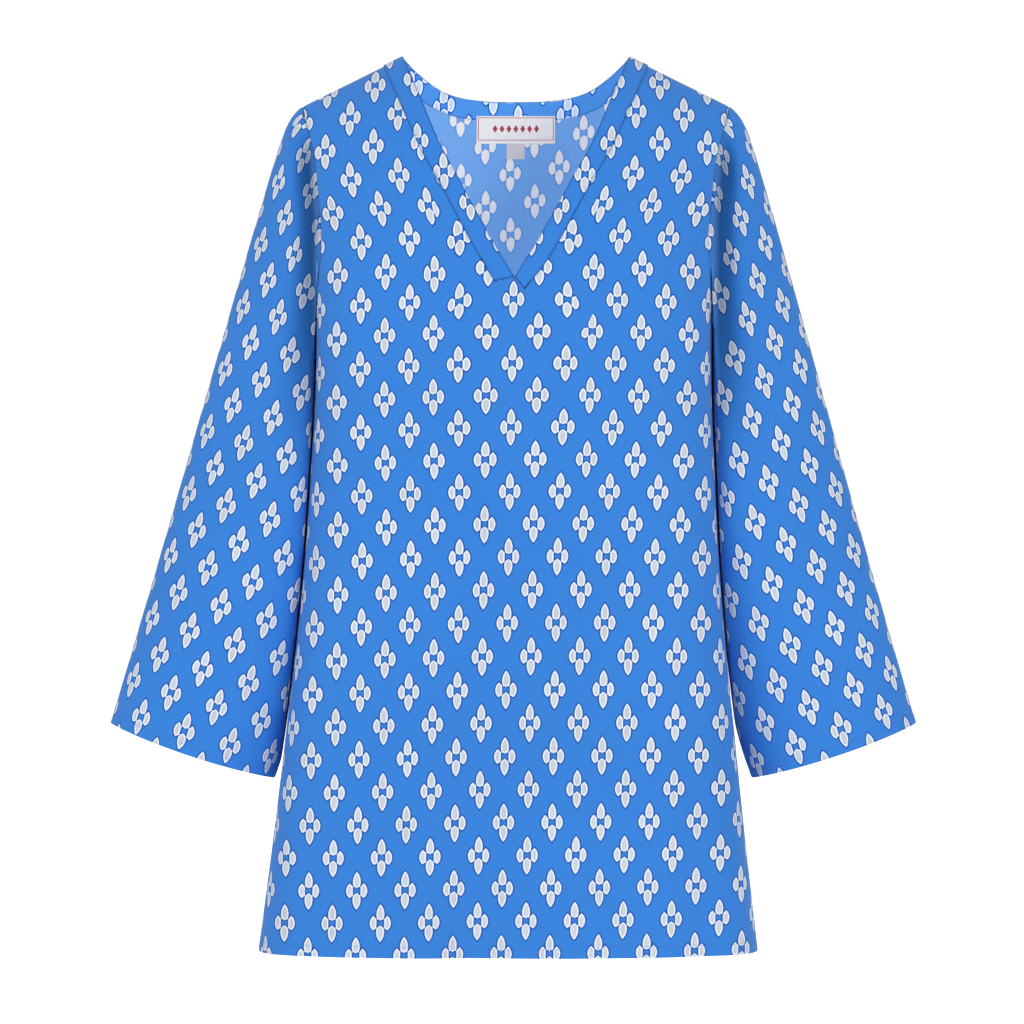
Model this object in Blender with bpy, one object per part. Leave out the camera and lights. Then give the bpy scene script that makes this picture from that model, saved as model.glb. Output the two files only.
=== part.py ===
"""Tunic top with a V neck, flat neck bands, long flared sleeves and an A-line body.

The garment stands filled out, as on a general figure, with neck, cuffs and hem open.
Each cut piece is a thin closed wall. The front faces -Y, +Z is up, and the origin lies
midway between the neck ends of the two shoulder seams, where the wearer's shoulders
carry the garment. Sizes below are in millimetres; the meshes are in metres.
"""

import math

import bmesh
import bpy
import numpy as np

MM = 0.001

# Cloth and seams
CLOTH = 1.5
BAND_CLOTH = 1.0
LABEL_CLOTH = 1.0
SEAM_GAP = 0.3
INSIDE_GAP = 0.5
SEAM_TOLERANCE = 1.0

# How far a wall's direction may lean from its own normal at a seam, as a cosine, and the
# cosines between two pieces' normals from which a seam starts to be mitred, and is fully
SEAM_LEAST_FIT = 0.7
MITRE_LEAST_FIT = 0.6
MITRE_START = -0.2
MITRE_FULL = 0.5

# Shoulder seam, from its neck end to its sleeve end
NECK_X = 103.7
SHOULDER_X = 196.0
SHOULDER_DROP = 45.5
SHOULDER_SLOPE = SHOULDER_DROP / (SHOULDER_X - NECK_X)

# Levels, all below the shoulder plane
UNDERARM_Z = -243.0
UNDERARM_ROUND = 0.8
HEM_SIDE_Z = -818.5
V_POINT_Z = -207.0
BACK_NECK_Z = -34.3

# Level sections of the body. Above the underarm the half width is that of the whole
# section, of which the panels use the part inside the armhole seam.
SECTION_COLUMNS = ("z", "half_width", "front_depth", "back_depth")
SECTIONS = (
    (0.0, 214.0, 97.0, 100.0),
    (-45.5, 209.6, 97.0, 104.0),
    (-95.0, 197.5, 98.0, 108.0),
    (-144.0, 191.0, 100.0, 110.0),
    (-194.0, 184.5, 103.0, 109.0),
    (-243.0, 181.5, 106.0, 106.0),
    (-311.0, 181.5, 106.0, 102.0),
    (-381.0, 185.0, 104.0, 99.0),
    (-444.0, 188.3, 103.0, 99.0),
    (-509.0, 193.4, 103.0, 101.0),
    (-625.0, 205.8, 105.0, 105.0),
    (-730.0, 217.6, 108.0, 109.0),
    (-822.0, 229.0, 111.0, 112.0),
)

# Neck edges, as height over distance from the centre
NECK_COLUMNS = ("x", "front_z", "back_z")
NECK_EDGE = (
    (0.0, V_POINT_Z, BACK_NECK_Z),
    (23.0, -169.0, -34.0),
    (38.4, -141.0, -32.8),
    (50.0, -119.0, -31.2),
    (68.5, -85.0, -25.4),
    (88.3, -37.5, -12.8),
    (NECK_X, 0.0, 0.0),
)

# Front and back: which way each faces, its depths and neck edge, how square its section
# is, how far down and how roundly the shoulder falls, and how far the hem lifts
FACE_COLUMNS = ("side", "depth", "neck", "corner", "reach", "round", "hem_lift")
FACES = {
    "front": (-1.0, "front_depth", "front_z", 4.0, 190.0, 1.7, -1.0),
    "back": (1.0, "back_depth", "back_z", 3.4, 160.0, 2.2, -1.0),
}

# Soft lengthwise folds of the skirt: where each lies at the hem, which way it leans,
# how wide it is, how deep it sinks in (negative) or stands out, and where it starts
FOLD_COLUMNS = ("face", "hem_x", "lean", "width", "depth", "start_z")
FOLDS = (
    ("front", -34.0, 0.02, 24.0, -5.0, -330.0),
    ("front", -84.0, 0.05, 30.0, 3.0, -330.0),
    ("front", 52.0, -0.03, 38.0, 3.5, -360.0),
    ("front", 178.0, -0.10, 26.0, -5.0, -560.0),
    ("front", -186.0, 0.10, 24.0, -3.0, -620.0),
    ("back", 26.0, 0.02, 28.0, -5.0, -340.0),
    ("back", 92.0, -0.04, 32.0, 3.5, -360.0),
    ("back", -58.0, 0.04, 36.0, 3.5, -330.0),
    ("back", -150.0, 0.08, 26.0, -4.0, -520.0),
)
FOLD_GROWTH = 300.0

# The body hangs a little to one side, further the lower it is
SWAY = -7.2
SWAY_TOP_Z = -50.0

# Panel grid
NECK_STEPS = 9
SHOULDER_STEPS = 6
COLUMNS_A_SIDE = NECK_STEPS + SHOULDER_STEPS
NECK_CROWDING = 1.5
SECTION_SAMPLES = 2001
EDGE_ROUNDS = 30
ROWS_BELOW_ARMHOLE = 12
ROWS_ALONG_ARMHOLE = 16
ROW_LENGTH_SPREAD = 45.0
ROW_LENGTH_SAMPLES = 400
ROW_LENGTH_SETTLED_Z = (-110.0, -190.0)
INNER_SHARE_LIMIT = 0.97

# Sleeves, and how far out each cuff's centre hangs
SLEEVE_COLUMNS = ("node", "side", "cuff_x")
SLEEVES = (("sleeve_left", 1.0, 292.5), ("sleeve_right", -1.0, 297.5))
CUFF_Y = 2.0
CUFF_Z = -637.5
CUFF_HALF_WIDTH = 80.0
CUFF_HALF_DEPTH = 50.0
CUFF_TILT = math.radians(18.5)
CUFF_BOW = 3.0
SLEEVE_CLEARANCE = 1.6
CLEARANCE_GROWTH = 5.0
CLEARANCE_SOFTNESS = 1.0
CLEARANCE_BELOW_SEAM = 4.0
CLEARANCE_RING_Z = (-130.0, -200.0)
CLEARANCE_BODY_Z = (-250.0, -300.0)
HEAD_FULLNESS = 10.5
HEAD_ROUNDING = 10.0
LEAN_OUT = 0.295
LEAN_DOWN = 0.955
INNER_LEAN = 0.065
SLEEVE_ROWS = (0, 0.012, 0.03, 0.055, 0.085, 0.125, 0.175, 0.24, 0.32, 0.41, 0.51, 0.61, 0.71, 0.81, 0.91, 1)

# Trough beside the armhole seam
TROUGH_X = 195.0
TROUGH_WIDTH = 10.0
TROUGH_DEPTH = 9.0
TROUGH_TOP_Z = -52.0
TROUGH_FULL_Z = -105.0
TROUGH_FADE_Z = -230.0
TROUGH_END_Z = -420.0
TROUGH_FACING = (12.0, 40.0)

# Neck bands, label and size tab
BAND_TOP_WIDTH = 20.0
BAND_WIDTH = 17.4
BACK_BAND_WIDTH = 17.6
BAND_END_LENGTH = 30.0
BAND_END_COLUMNS = ("node", "side", "angle", "width")
BAND_ENDS = (
    ("neck_band_right", -1.0, math.radians(14.7), 18.2),
    ("neck_band_left", 1.0, math.radians(52.3), 15.0),
)
BAND_STEPS = 30
BAND_CROWDING = 1.6
BAND_TAPER_Z = -120.0
BACK_BAND_TURN_X = 20.0
SHOULDER_EASE = 1.1
SHOULDER_EASE_X = (70.0, 95.0)
BAND_STEPS_ACROSS = 3
LABEL_HALF_WIDTH = 36.9
LABEL_TOP_Z = -46.5
LABEL_BOTTOM_Z = -71.7
LABEL_STEPS = (8, 3)
TAB_CLOTH = 0.8
TAB_STEPS = (2, 3)
TAB_HALF_WIDTH = 8.5
TAB_TOP_Z = -68.5
TAB_BOTTOM_Z = -86.3

# Nodes of the printed cloth
CLOTH_NODES = (*FACES, "sleeve_left", "sleeve_right", "neck_band_left", "neck_band_right", "neck_band_back")

# Colours in linear RGB, and finish
BLUE = (0.047, 0.231, 0.694)
WHITE = (0.82, 0.82, 0.84)
GREY = (0.60, 0.60, 0.63)
CLOTH_ROUGHNESS = 0.75
LABEL_ROUGHNESS = 0.6
SHARP_ANGLE = math.radians(50)


def column(table, names, name):
    """One named column of a table."""
    place = names.index(name)
    return np.array([row[place] for row in table])


def smooth(known, values, wanted):
    """Cubic curve through a table's values, with slopes taken from each row's neighbours."""
    order = np.argsort(known)
    known, values = known[order], values[order]
    slopes = np.gradient(values, known)
    at = np.clip(np.asarray(wanted, dtype=float), known[0], known[-1])
    i = np.clip(np.searchsorted(known, at) - 1, 0, len(known) - 2)
    span = known[i + 1] - known[i]
    t = (at - known[i]) / span
    start = (1 + 2 * t) * (1 - t) ** 2 * values[i] + t * (1 - t) ** 2 * span * slopes[i]
    end = t * t * (3 - 2 * t) * values[i + 1] + t * t * (t - 1) * span * slopes[i + 1]
    return start + end


def ease(value, low, high):
    """Smooth step from 0 at low to 1 at high."""
    t = np.clip((value - low) / (high - low), 0.0, 1.0)
    return t * t * (3 - 2 * t)


def section(name, z):
    """A named size of the body's level section at height z."""
    return smooth(column(SECTIONS, SECTION_COLUMNS, "z"), column(SECTIONS, SECTION_COLUMNS, name), z)


def face_value(face, name):
    return FACES[face][FACE_COLUMNS.index(name)]


def shoulder_height(x):
    """Height of the shoulder seam over x, carried on in a curve over the neck."""
    past = np.clip(NECK_X - x, 0.0, None)
    over_neck = SHOULDER_SLOPE * past * (1 - past / (2 * NECK_X))
    return over_neck - SHOULDER_SLOPE * np.clip(x - NECK_X, 0.0, None)


def shoulder_rounding(face, x, z):
    """0 on the shoulder seam, rising along a rounded quarter to 1 at the face's reach."""
    power = face_value(face, "round")
    drop = np.clip((shoulder_height(np.abs(x)) - z) / face_value(face, "reach"), 0.0, 1.0)
    return (1 - (1 - drop) ** power) ** (1 / power)


def folds(face, x, z):
    """Sum of the soft lengthwise folds: a bell across each, growing from its start down to the hem."""
    total = np.zeros_like(x)
    for name, hem_x, lean, width, depth, start_z in FOLDS:
        if name == face:
            middle = hem_x + lean * (z - HEM_SIDE_Z)
            grown = ease(start_z - z, 0.0, FOLD_GROWTH)
            total = total + depth * grown * np.exp(-(((x - middle) / width) ** 2))
    return total


def section_turn(face, bend):
    """Share of the half width that goes with a share of the depth, on the rounded section."""
    corner = face_value(face, "corner")
    return (1 - np.clip(bend, 0, 1) ** corner) ** (1 / corner)


def panel_depth(face, x, z):
    """Distance of the cloth in front of or behind the shoulder plane."""
    across = section_turn(face, np.abs(x) / section("half_width", z))
    body = section(face_value(face, "depth"), z) * across * shoulder_rounding(face, x, z)
    return body + folds(face, x, z) * across + SEAM_GAP / 2


def sway(z):
    """How far the body's middle hangs to one side at height z."""
    return SWAY * np.clip((SWAY_TOP_Z - z) / (SWAY_TOP_Z - HEM_SIDE_Z), 0, None)


def panel_surface(face, x, z):
    """Points of a panel's outer surface over x, counted from the body's middle, and z."""
    return np.stack([x + sway(z), face_value(face, "side") * panel_depth(face, x, z), z], axis=-1)


def armhole_turn():
    """Angle along the armhole, 0 at the underarm and pi at the shoulder."""
    return np.linspace(0.0, math.pi, ROWS_ALONG_ARMHOLE + 1)


def armhole_height(turn):
    middle = (UNDERARM_Z - SHOULDER_DROP) / 2
    return middle - (-SHOULDER_DROP - UNDERARM_Z) / 2 * np.cos(turn)


def armhole_bend(face, turn):
    """Share of the section's depth where the armhole seam lies, 0 at the underarm."""
    shoulder = section_turn(face, SHOULDER_X / section("half_width", -SHOULDER_DROP))
    return shoulder * np.sin(np.minimum(turn, math.pi / 2)) ** UNDERARM_ROUND


def column_shares():
    """How far along a row each column lies: crowded towards the neck end of the shoulder seam, then even."""
    neck_end = NECK_X / section("half_width", 0.0) / (SHOULDER_X / section("half_width", -SHOULDER_DROP))
    neck = neck_end * (1 - (1 - np.linspace(0, 1, NECK_STEPS + 1)) ** NECK_CROWDING)
    shoulder = np.linspace(neck_end, 1, SHOULDER_STEPS + 1)
    return np.concatenate([neck, shoulder[1:]])


def top_edge(face, share_of_width):
    """Height of the panel's top edge in each column: the neck edge, then the shoulder seam."""
    neck_x = column(NECK_EDGE, NECK_COLUMNS, "x")
    neck_z = column(NECK_EDGE, NECK_COLUMNS, face_value(face, "neck"))
    z = np.zeros_like(share_of_width)
    for _ in range(EDGE_ROUNDS):
        x = share_of_width * section("half_width", z)
        z = np.where(x < NECK_X, smooth(neck_x, neck_z, x), shoulder_height(x))
    return z


def settled_lengths(z, lengths, last_share):
    """Row lengths that the inner columns follow: averaged with a bell over height, so that the
    columns run on smoothly past the underarm, and never longer than the row has room for.
    Rows near the shoulder keep their own lengths."""
    levels = np.linspace(z[0], z[-1], ROW_LENGTH_SAMPLES)
    known = np.interp(levels, z, lengths)
    bell = np.exp(-(((z[:, None] - levels) / ROW_LENGTH_SPREAD) ** 2))
    averaged = (bell * known).sum(axis=1) / bell.sum(axis=1)
    settled = lengths + ease(z, *ROW_LENGTH_SETTLED_Z) * (averaged - lengths)
    return np.minimum(settled, lengths * INNER_SHARE_LIMIT / last_share)


def panel_grid(face):
    """Grid of a whole panel: rows from hem to neck and shoulder, columns from side to side.

    A row runs along the level section from the centre to the side seam or the armhole,
    each column at its own share of the row's length. It is level at the hem and takes on
    more and more of the top edge's shape on the way up.
    """
    lower = np.linspace(HEM_SIDE_Z, UNDERARM_Z, ROWS_BELOW_ARMHOLE + 1)
    turn = armhole_turn()
    edge_z = np.concatenate([lower, armhole_height(turn[1:])])
    edge_bend = np.concatenate([np.zeros(len(lower)), armhole_bend(face, turn[1:])])
    share_up = (edge_z - HEM_SIDE_Z) / (-SHOULDER_DROP - HEM_SIDE_Z)
    corner = face_value(face, "corner")
    shares = column_shares()
    angle = np.linspace(0, math.pi / 2, SECTION_SAMPLES)
    wides, lengths = [], []
    for z, bend in zip(edge_z, edge_bend):
        edge = section_turn(face, bend)
        rounding = shoulder_rounding(face, edge * section("half_width", z), z)
        flatness = section(face_value(face, "depth"), z) * rounding / section("half_width", z)
        wide, deep = np.sin(angle) ** (2 / corner), np.cos(angle) ** (2 / corner)
        wide, deep = np.append(wide[wide < edge], edge), np.append(deep[wide < edge], bend)
        length = np.concatenate([[0], np.cumsum(np.hypot(np.diff(wide), flatness * np.diff(deep)))])
        wides.append(wide)
        lengths.append(length)
    reach = settled_lengths(edge_z, np.array([length[-1] for length in lengths]), shares[-2])
    rows = []
    for wide, length, settled in zip(wides, lengths, reach):
        along = np.append(shares[:-1] * settled, length[-1])
        rows.append(np.interp(along, length, wide))
    rows = np.array(rows)

    edge_share = rows[:, -1:]
    tilt = top_edge(face, rows) - top_edge(face, edge_share)
    lift = face_value(face, "hem_lift") * np.cos(rows * math.pi / 2)
    rows_z = edge_z[:, None] + share_up[:, None] * tilt + (1 - share_up[:, None]) * lift
    rows_x = rows * section("half_width", rows_z)
    x = np.concatenate([-rows_x[:, :0:-1], rows_x], axis=1)
    z = np.concatenate([rows_z[:, :0:-1], rows_z], axis=1)
    points = panel_surface(face, x, z)
    points[: ROWS_BELOW_ARMHOLE + 1, [0, -1], 1] = face_value(face, "side") * SEAM_GAP / 2
    return points


def grid_normals(points, closed=False):
    """Unit normals of a grid, from its rows and columns. A closed grid joins its last column to its first."""
    if closed:
        wide = np.concatenate([points[:, -1:], points, points[:, :1]], axis=1)
        across = np.gradient(wide, axis=1)[:, 1:-1]
    else:
        across = np.gradient(points, axis=1)
    normals = np.cross(np.gradient(points, axis=0), across)
    return normals / np.linalg.norm(normals, axis=-1, keepdims=True)


def toward_seam_plane(normals):
    """Turn normals into the plane between front and back, kept long enough for the full wall."""
    turned = normals * (1.0, 0.0, 1.0)
    unit = turned / np.linalg.norm(turned, axis=-1, keepdims=True)
    fit = np.clip((unit * normals).sum(axis=-1, keepdims=True), SEAM_LEAST_FIT, 1.0)
    return unit / fit


def panel_normals(face, points):
    """Outward normals of a panel; on side and shoulder seams they lie in the seam's plane."""
    normals = grid_normals(points)
    if face_value(face, "side") * normals[0, COLUMNS_A_SIDE, 1] < 0:
        normals = -normals
    below = slice(0, ROWS_BELOW_ARMHOLE + 1)
    for edge in (0, -1):
        normals[below, edge] = toward_seam_plane(normals[below, edge])
    shoulder = np.abs(points[-1, :, 0]) >= NECK_X - SEAM_TOLERANCE
    normals[-1, shoulder] = toward_seam_plane(normals[-1, shoulder])
    return normals


def armhole_ring(front, back, side):
    """An armhole seam, seen as if on the +X side: from the underarm up the front and down the back."""
    edge = -1 if side > 0 else 0
    forward = front[ROWS_BELOW_ARMHOLE:, edge]
    rearward = back[ROWS_BELOW_ARMHOLE:, edge]
    ring = np.concatenate([forward, rearward[-2:0:-1]])
    return ring * (side, 1.0, 1.0)


def body_side(side, y, z):
    """How far the body reaches to the given side at depth y and height z."""
    front = section_turn("front", np.abs(y) / section("front_depth", z))
    back = section_turn("back", np.abs(y) / section("back_depth", z))
    return section("half_width", z) * np.where(y < 0, front, back) + side * sway(z)


def sleeve_grid(front, back, side, cuff_x):
    """A sleeve, worked out as if on the +X side: rows from armhole to cuff, columns round the
    tube from the underarm.

    Each column is a cubic curve to its cuff point from its armhole point, which is first
    moved out by the fullness of the sleeve head and drawn back in over the first stretch.
    The inner side is then held just clear of the body, and the trough is pressed in.
    """
    ring = armhole_ring(front, back, side)
    ring[[0, ROWS_ALONG_ARMHOLE], 1] = 0.0
    ring[:, 0] += SEAM_GAP
    angle = np.linspace(0, 2 * math.pi, len(ring), endpoint=False)
    outward = np.array([math.cos(CUFF_TILT), 0.0, math.sin(CUFF_TILT)])
    down = np.array([math.sin(CUFF_TILT), 0.0, -math.cos(CUFF_TILT)])
    forward = np.array([0.0, -1.0, 0.0])
    cuff = (
        np.array([cuff_x, CUFF_Y, CUFF_Z])
        - CUFF_HALF_WIDTH * np.cos(angle)[:, None] * outward
        + CUFF_HALF_DEPTH * np.sin(angle)[:, None] * forward
        + CUFF_BOW * (np.sin(angle) ** 2)[:, None] * down
    )
    fullness = HEAD_FULLNESS * ((1 - np.cos(angle)) / 2)[:, None] ** 3 * np.array([1.0, 0.0, 0.0])
    start = ring + fullness
    reach = np.linalg.norm(cuff - start, axis=1)[:, None]
    leave = np.stack([LEAN_OUT / 2 * (1 - np.cos(angle)), 0 * angle, np.full_like(angle, -LEAN_DOWN)], axis=1)
    lean = LEAN_OUT + INNER_LEAN * (1 + np.cos(angle)) / 2
    arrive = np.stack([lean, 0 * angle, np.full_like(angle, -LEAN_DOWN)], axis=1)
    u = np.array(SLEEVE_ROWS)[:, None, None]
    points = (
        (1 + 2 * u) * (1 - u) ** 2 * start
        + u * (1 - u) ** 2 * reach * leave
        + u * u * (3 - 2 * u) * cuff
        - u * u * (1 - u) * reach * arrive
        - fullness * np.exp(-u * reach / HEAD_ROUNDING)
    )
    points[1:] = clear_of_body(points[1:], ring, side)
    points[1:, :, 1] = pressed(points[1:])
    return points


def clear_of_body(points, ring, side):
    """Hold points below the armhole just outside the body's side, more so away from the seam."""
    gone = np.linalg.norm(points - ring, axis=-1)
    wanted = SEAM_GAP + SLEEVE_CLEARANCE * (1 - np.exp(-gone / CLEARANCE_GROWTH))
    room = points[..., 0] - body_side(side, points[..., 1], points[..., 2]) - wanted
    lift = 0.5 * (np.sqrt(room**2 + CLEARANCE_SOFTNESS**2) - room)
    below = ease(ring[:, 2] - points[..., 2], 0.0, CLEARANCE_BELOW_SEAM)
    beside = np.maximum(ease(ring[:, 2], *CLEARANCE_RING_Z), ease(points[..., 2], *CLEARANCE_BODY_Z))
    cleared = points.copy()
    cleared[..., 0] += lift * below * beside
    return cleared


def pressed(points):
    """Depth of the sleeve with the trough beside the armhole seam pressed in, front and back."""
    x, y, z = points[..., 0], points[..., 1], points[..., 2]
    deep = ease(z, TROUGH_TOP_Z, TROUGH_FULL_Z) * ease(z, TROUGH_END_Z, TROUGH_FADE_Z)
    bell = np.exp(-(((x - TROUGH_X) / TROUGH_WIDTH) ** 2))
    facing = ease(np.abs(y), *TROUGH_FACING)
    return y - np.sign(y) * TROUGH_DEPTH * deep * bell * facing


def mitre(body_normals, sleeve_normals):
    """Wall directions on both sides of a seam: shared where it ridges, each its own where it folds in."""
    shared = ease((body_normals * sleeve_normals).sum(axis=-1, keepdims=True), MITRE_START, MITRE_FULL)
    out = []
    for own, other in ((body_normals, sleeve_normals), (sleeve_normals, body_normals)):
        turned = own + shared * other
        turned = turned / np.linalg.norm(turned, axis=-1, keepdims=True)
        fit = np.clip((turned * own).sum(axis=-1, keepdims=True), MITRE_LEAST_FIT, None)
        out.append(turned / fit)
    return out


def wall(name, points, normals, outer, inner, closed=False):
    """A closed wall from a grid: one skin moved out along the normals and one moved in, joined by rims."""
    rows, columns = points.shape[:2]
    skins = np.concatenate([points + outer * normals, points + inner * normals]).reshape(-1, 3)
    index = np.arange(rows * columns).reshape(rows, columns)
    if closed:
        index = np.concatenate([index, index[:, :1]], axis=1)
    a, b, c, d = index[:-1, :-1], index[:-1, 1:], index[1:, 1:], index[1:, :-1]
    quads = np.stack([a, b, c, d], axis=-1).reshape(-1, 4)
    other = rows * columns
    faces = [quads, quads[:, ::-1] + other]
    rims = [(index[0], 1), (index[-1], -1)]
    if not closed:
        rims += [(index[:, 0], -1), (index[:, -1], 1)]
    for line, way in rims:
        p, q = line[:-1], line[1:]
        rim = np.stack([q, p, p + other, q + other], axis=-1)
        faces.append(rim[:, ::way])
    mesh = bpy.data.meshes.new(name)
    mesh.from_pydata((skins * MM).tolist(), [], np.concatenate(faces).tolist())
    mesh.validate()
    return mesh


def place(name, mesh, material):
    """Link a mesh as an object, with its faces turned outwards and its smooth shading set."""
    form = bmesh.new()
    form.from_mesh(mesh)
    bmesh.ops.recalc_face_normals(form, faces=form.faces)
    form.to_mesh(mesh)
    form.free()
    mesh.shade_smooth()
    mesh.set_sharp_from_angle(angle=SHARP_ANGLE)
    mesh.materials.append(material)
    thing = bpy.data.objects.new(name, mesh)
    bpy.context.scene.collection.objects.link(thing)
    return thing


def cloth_material(name, colour, roughness):
    material = bpy.data.materials.new(name)
    material.use_nodes = True
    shader = material.node_tree.nodes["Principled BSDF"]
    shader.inputs["Base Color"].default_value = (*colour, 1.0)
    shader.inputs["Roughness"].default_value = roughness
    shader.inputs["Metallic"].default_value = 0.0
    return material


def front_band(side, end_angle, end_width):
    """Strip of the front's surface along one side of the V, from the V point to the shoulder seam."""
    x = NECK_X * (1 - (1 - np.linspace(0, 1, BAND_STEPS + 1)) ** BAND_CROWDING)
    neck_x = column(NECK_EDGE, NECK_COLUMNS, "x")
    z = smooth(neck_x, column(NECK_EDGE, NECK_COLUMNS, "front_z"), x)
    from_point = np.hypot(x, z - V_POINT_Z)
    end = 1 - ease(from_point, 0.0, BAND_END_LENGTH)
    angle = math.atan(SHOULDER_SLOPE) + end * (end_angle - math.atan(SHOULDER_SLOPE))
    top = ease(z, BAND_TAPER_Z, 0.0)
    width = BAND_WIDTH + top * (BAND_TOP_WIDTH - BAND_WIDTH) + end * (end_width - BAND_WIDTH)
    w = np.linspace(0, 1, BAND_STEPS_ACROSS + 1)
    across = w * width[:, None]
    line_x = x[:, None] + across * np.cos(angle)[:, None]
    line_z = z[:, None] - across * np.sin(angle)[:, None]
    line_z = np.minimum(line_z, shoulder_height(line_x))
    points = panel_surface("front", side * line_x, line_z)
    points[..., 0] += side * SEAM_GAP / 2
    return points


def back_band():
    """Strip of the back's surface below the back neck edge, from shoulder seam to shoulder seam."""
    x = NECK_X * np.sin(np.linspace(-math.pi / 2, math.pi / 2, BAND_STEPS + 1))
    neck_x = column(NECK_EDGE, NECK_COLUMNS, "x")
    edge_z = smooth(neck_x, column(NECK_EDGE, NECK_COLUMNS, "back_z"), np.abs(x))
    lean = math.pi / 2 - (math.pi / 2 - math.atan(SHOULDER_SLOPE)) * ease(np.abs(x), BACK_BAND_TURN_X, NECK_X)
    w = BACK_BAND_WIDTH * np.linspace(0, 1, BAND_STEPS_ACROSS + 1)
    line_x = x[:, None] + np.sign(x)[:, None] * w * np.cos(lean)[:, None]
    line_z = np.minimum(edge_z[:, None] - w * np.sin(lean)[:, None], shoulder_height(np.abs(line_x)))
    return panel_surface("back", line_x, line_z)


def back_patch(half_width, top_z, bottom_z, steps_across, steps_down):
    """Rectangle of the back's surface, centred on the centre back."""
    x, z = np.meshgrid(
        np.linspace(-half_width, half_width, steps_across + 1),
        np.linspace(top_z, bottom_z, steps_down + 1),
    )
    return panel_surface("back", x, z)


def outward(face, points):
    normals = grid_normals(points)
    middle = normals[normals.shape[0] // 2, normals.shape[1] // 2]
    return normals if face_value(face, "side") * middle[1] > 0 else -normals


def build_body_and_sleeves(blue):
    grids = {face: panel_grid(face) for face in FACES}
    normals = {face: panel_normals(face, grids[face]) for face in FACES}
    last = ROWS_ALONG_ARMHOLE
    upper = slice(ROWS_BELOW_ARMHOLE, None)
    ring = {"front": np.arange(last + 1), "back": -np.arange(last + 1)}
    for name, side, cuff_x in SLEEVES:
        to_side = (side, 1.0, 1.0)
        sleeve = sleeve_grid(grids["front"], grids["back"], side, cuff_x)
        sleeve_normals = grid_normals(sleeve, closed=True)
        if sleeve_normals[-1, last, 0] < 0:
            sleeve_normals = -sleeve_normals
        edge = -1 if side > 0 else 0
        for face in FACES:
            body, tube = mitre(normals[face][upper, edge] * to_side, sleeve_normals[0, ring[face]])
            body[[0, -1], 1] = 0.0
            normals[face][upper, edge] = body * to_side
            sleeve_normals[0, ring[face]] = tube
        sleeve_normals[0, [0, last], 1] = 0.0
        mesh = wall(name, sleeve * to_side, sleeve_normals * to_side, 0.0, -CLOTH, closed=True)
        place(name, mesh, blue[name])
    for face in FACES:
        place(face, wall(face, grids[face], normals[face], 0.0, -CLOTH), blue[face])


def build_neck(blue):
    for name, side, angle, width in BAND_ENDS:
        points = front_band(side, angle, width)
        normals = outward("front", points)
        normals[-1] = toward_seam_plane(normals[-1])
        place(name, wall(name, points, normals, SEAM_GAP + BAND_CLOTH, SEAM_GAP), blue[name])
    points = back_band()
    normals = outward("back", points)
    for end in (0, -1):
        normals[end] = toward_seam_plane(normals[end])
    depth = -CLOTH - INSIDE_GAP - SHOULDER_EASE * ease(np.abs(points[..., :1]), *SHOULDER_EASE_X)
    mesh = wall("neck_band_back", points, normals, depth, depth - BAND_CLOTH)
    place("neck_band_back", mesh, blue["neck_band_back"])


def build_labels():
    behind_label = -CLOTH - INSIDE_GAP
    on_band = behind_label - BAND_CLOTH - INSIDE_GAP
    points = back_patch(LABEL_HALF_WIDTH, LABEL_TOP_Z, LABEL_BOTTOM_Z, *LABEL_STEPS)
    mesh = wall("label", points, outward("back", points), on_band, on_band - LABEL_CLOTH)
    place("label", mesh, cloth_material("label_white", WHITE, LABEL_ROUGHNESS))
    points = back_patch(TAB_HALF_WIDTH, TAB_TOP_Z, TAB_BOTTOM_Z, *TAB_STEPS)
    mesh = wall("size_tab", points, outward("back", points), behind_label, behind_label - TAB_CLOTH)
    place("size_tab", mesh, cloth_material("tab_grey", GREY, LABEL_ROUGHNESS))


def main():
    for thing in list(bpy.data.objects):
        bpy.data.objects.remove(thing, do_unlink=True)
    blue = {name: cloth_material(f"{name}_cloth", BLUE, CLOTH_ROUGHNESS) for name in CLOTH_NODES}
    build_body_and_sleeves(blue)
    build_neck(blue)
    build_labels()


main()
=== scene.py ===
"""Looks of a printed tunic top: filled-out cloth shells, neck bands, hems, labels and stitching.

The garment faces -Y and +Z is up. The forms are worked out in millimetres from the
same sections, neck edges and folds as the solids, on finer grids, and put in as metres.
"""

import functools
import math

import bpy
import numpy as np
from bpy.props import FloatProperty, FloatVectorProperty, PointerProperty
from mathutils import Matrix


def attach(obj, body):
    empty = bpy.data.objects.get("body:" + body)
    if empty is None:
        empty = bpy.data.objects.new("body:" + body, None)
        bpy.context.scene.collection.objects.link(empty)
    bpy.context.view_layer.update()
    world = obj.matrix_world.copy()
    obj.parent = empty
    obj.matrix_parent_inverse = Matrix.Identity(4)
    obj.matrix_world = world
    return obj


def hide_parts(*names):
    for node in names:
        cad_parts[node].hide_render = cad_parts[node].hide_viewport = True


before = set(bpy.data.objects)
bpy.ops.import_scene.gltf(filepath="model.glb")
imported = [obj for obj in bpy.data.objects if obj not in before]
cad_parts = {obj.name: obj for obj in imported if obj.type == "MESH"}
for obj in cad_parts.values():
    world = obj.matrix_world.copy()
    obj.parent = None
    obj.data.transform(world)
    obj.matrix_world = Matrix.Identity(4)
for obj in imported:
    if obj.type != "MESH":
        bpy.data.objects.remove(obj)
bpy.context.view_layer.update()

bl_info = {
    "name": "Printed tunic top",
    "version": (1, 0, 0),
    "blender": (4, 5, 0),
    "location": "View3D > Sidebar > Tunic",
    "description": "Builds the cloth, bands, labels and stitching of a printed tunic top",
    "category": "Object",
}

MM = 0.001

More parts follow.
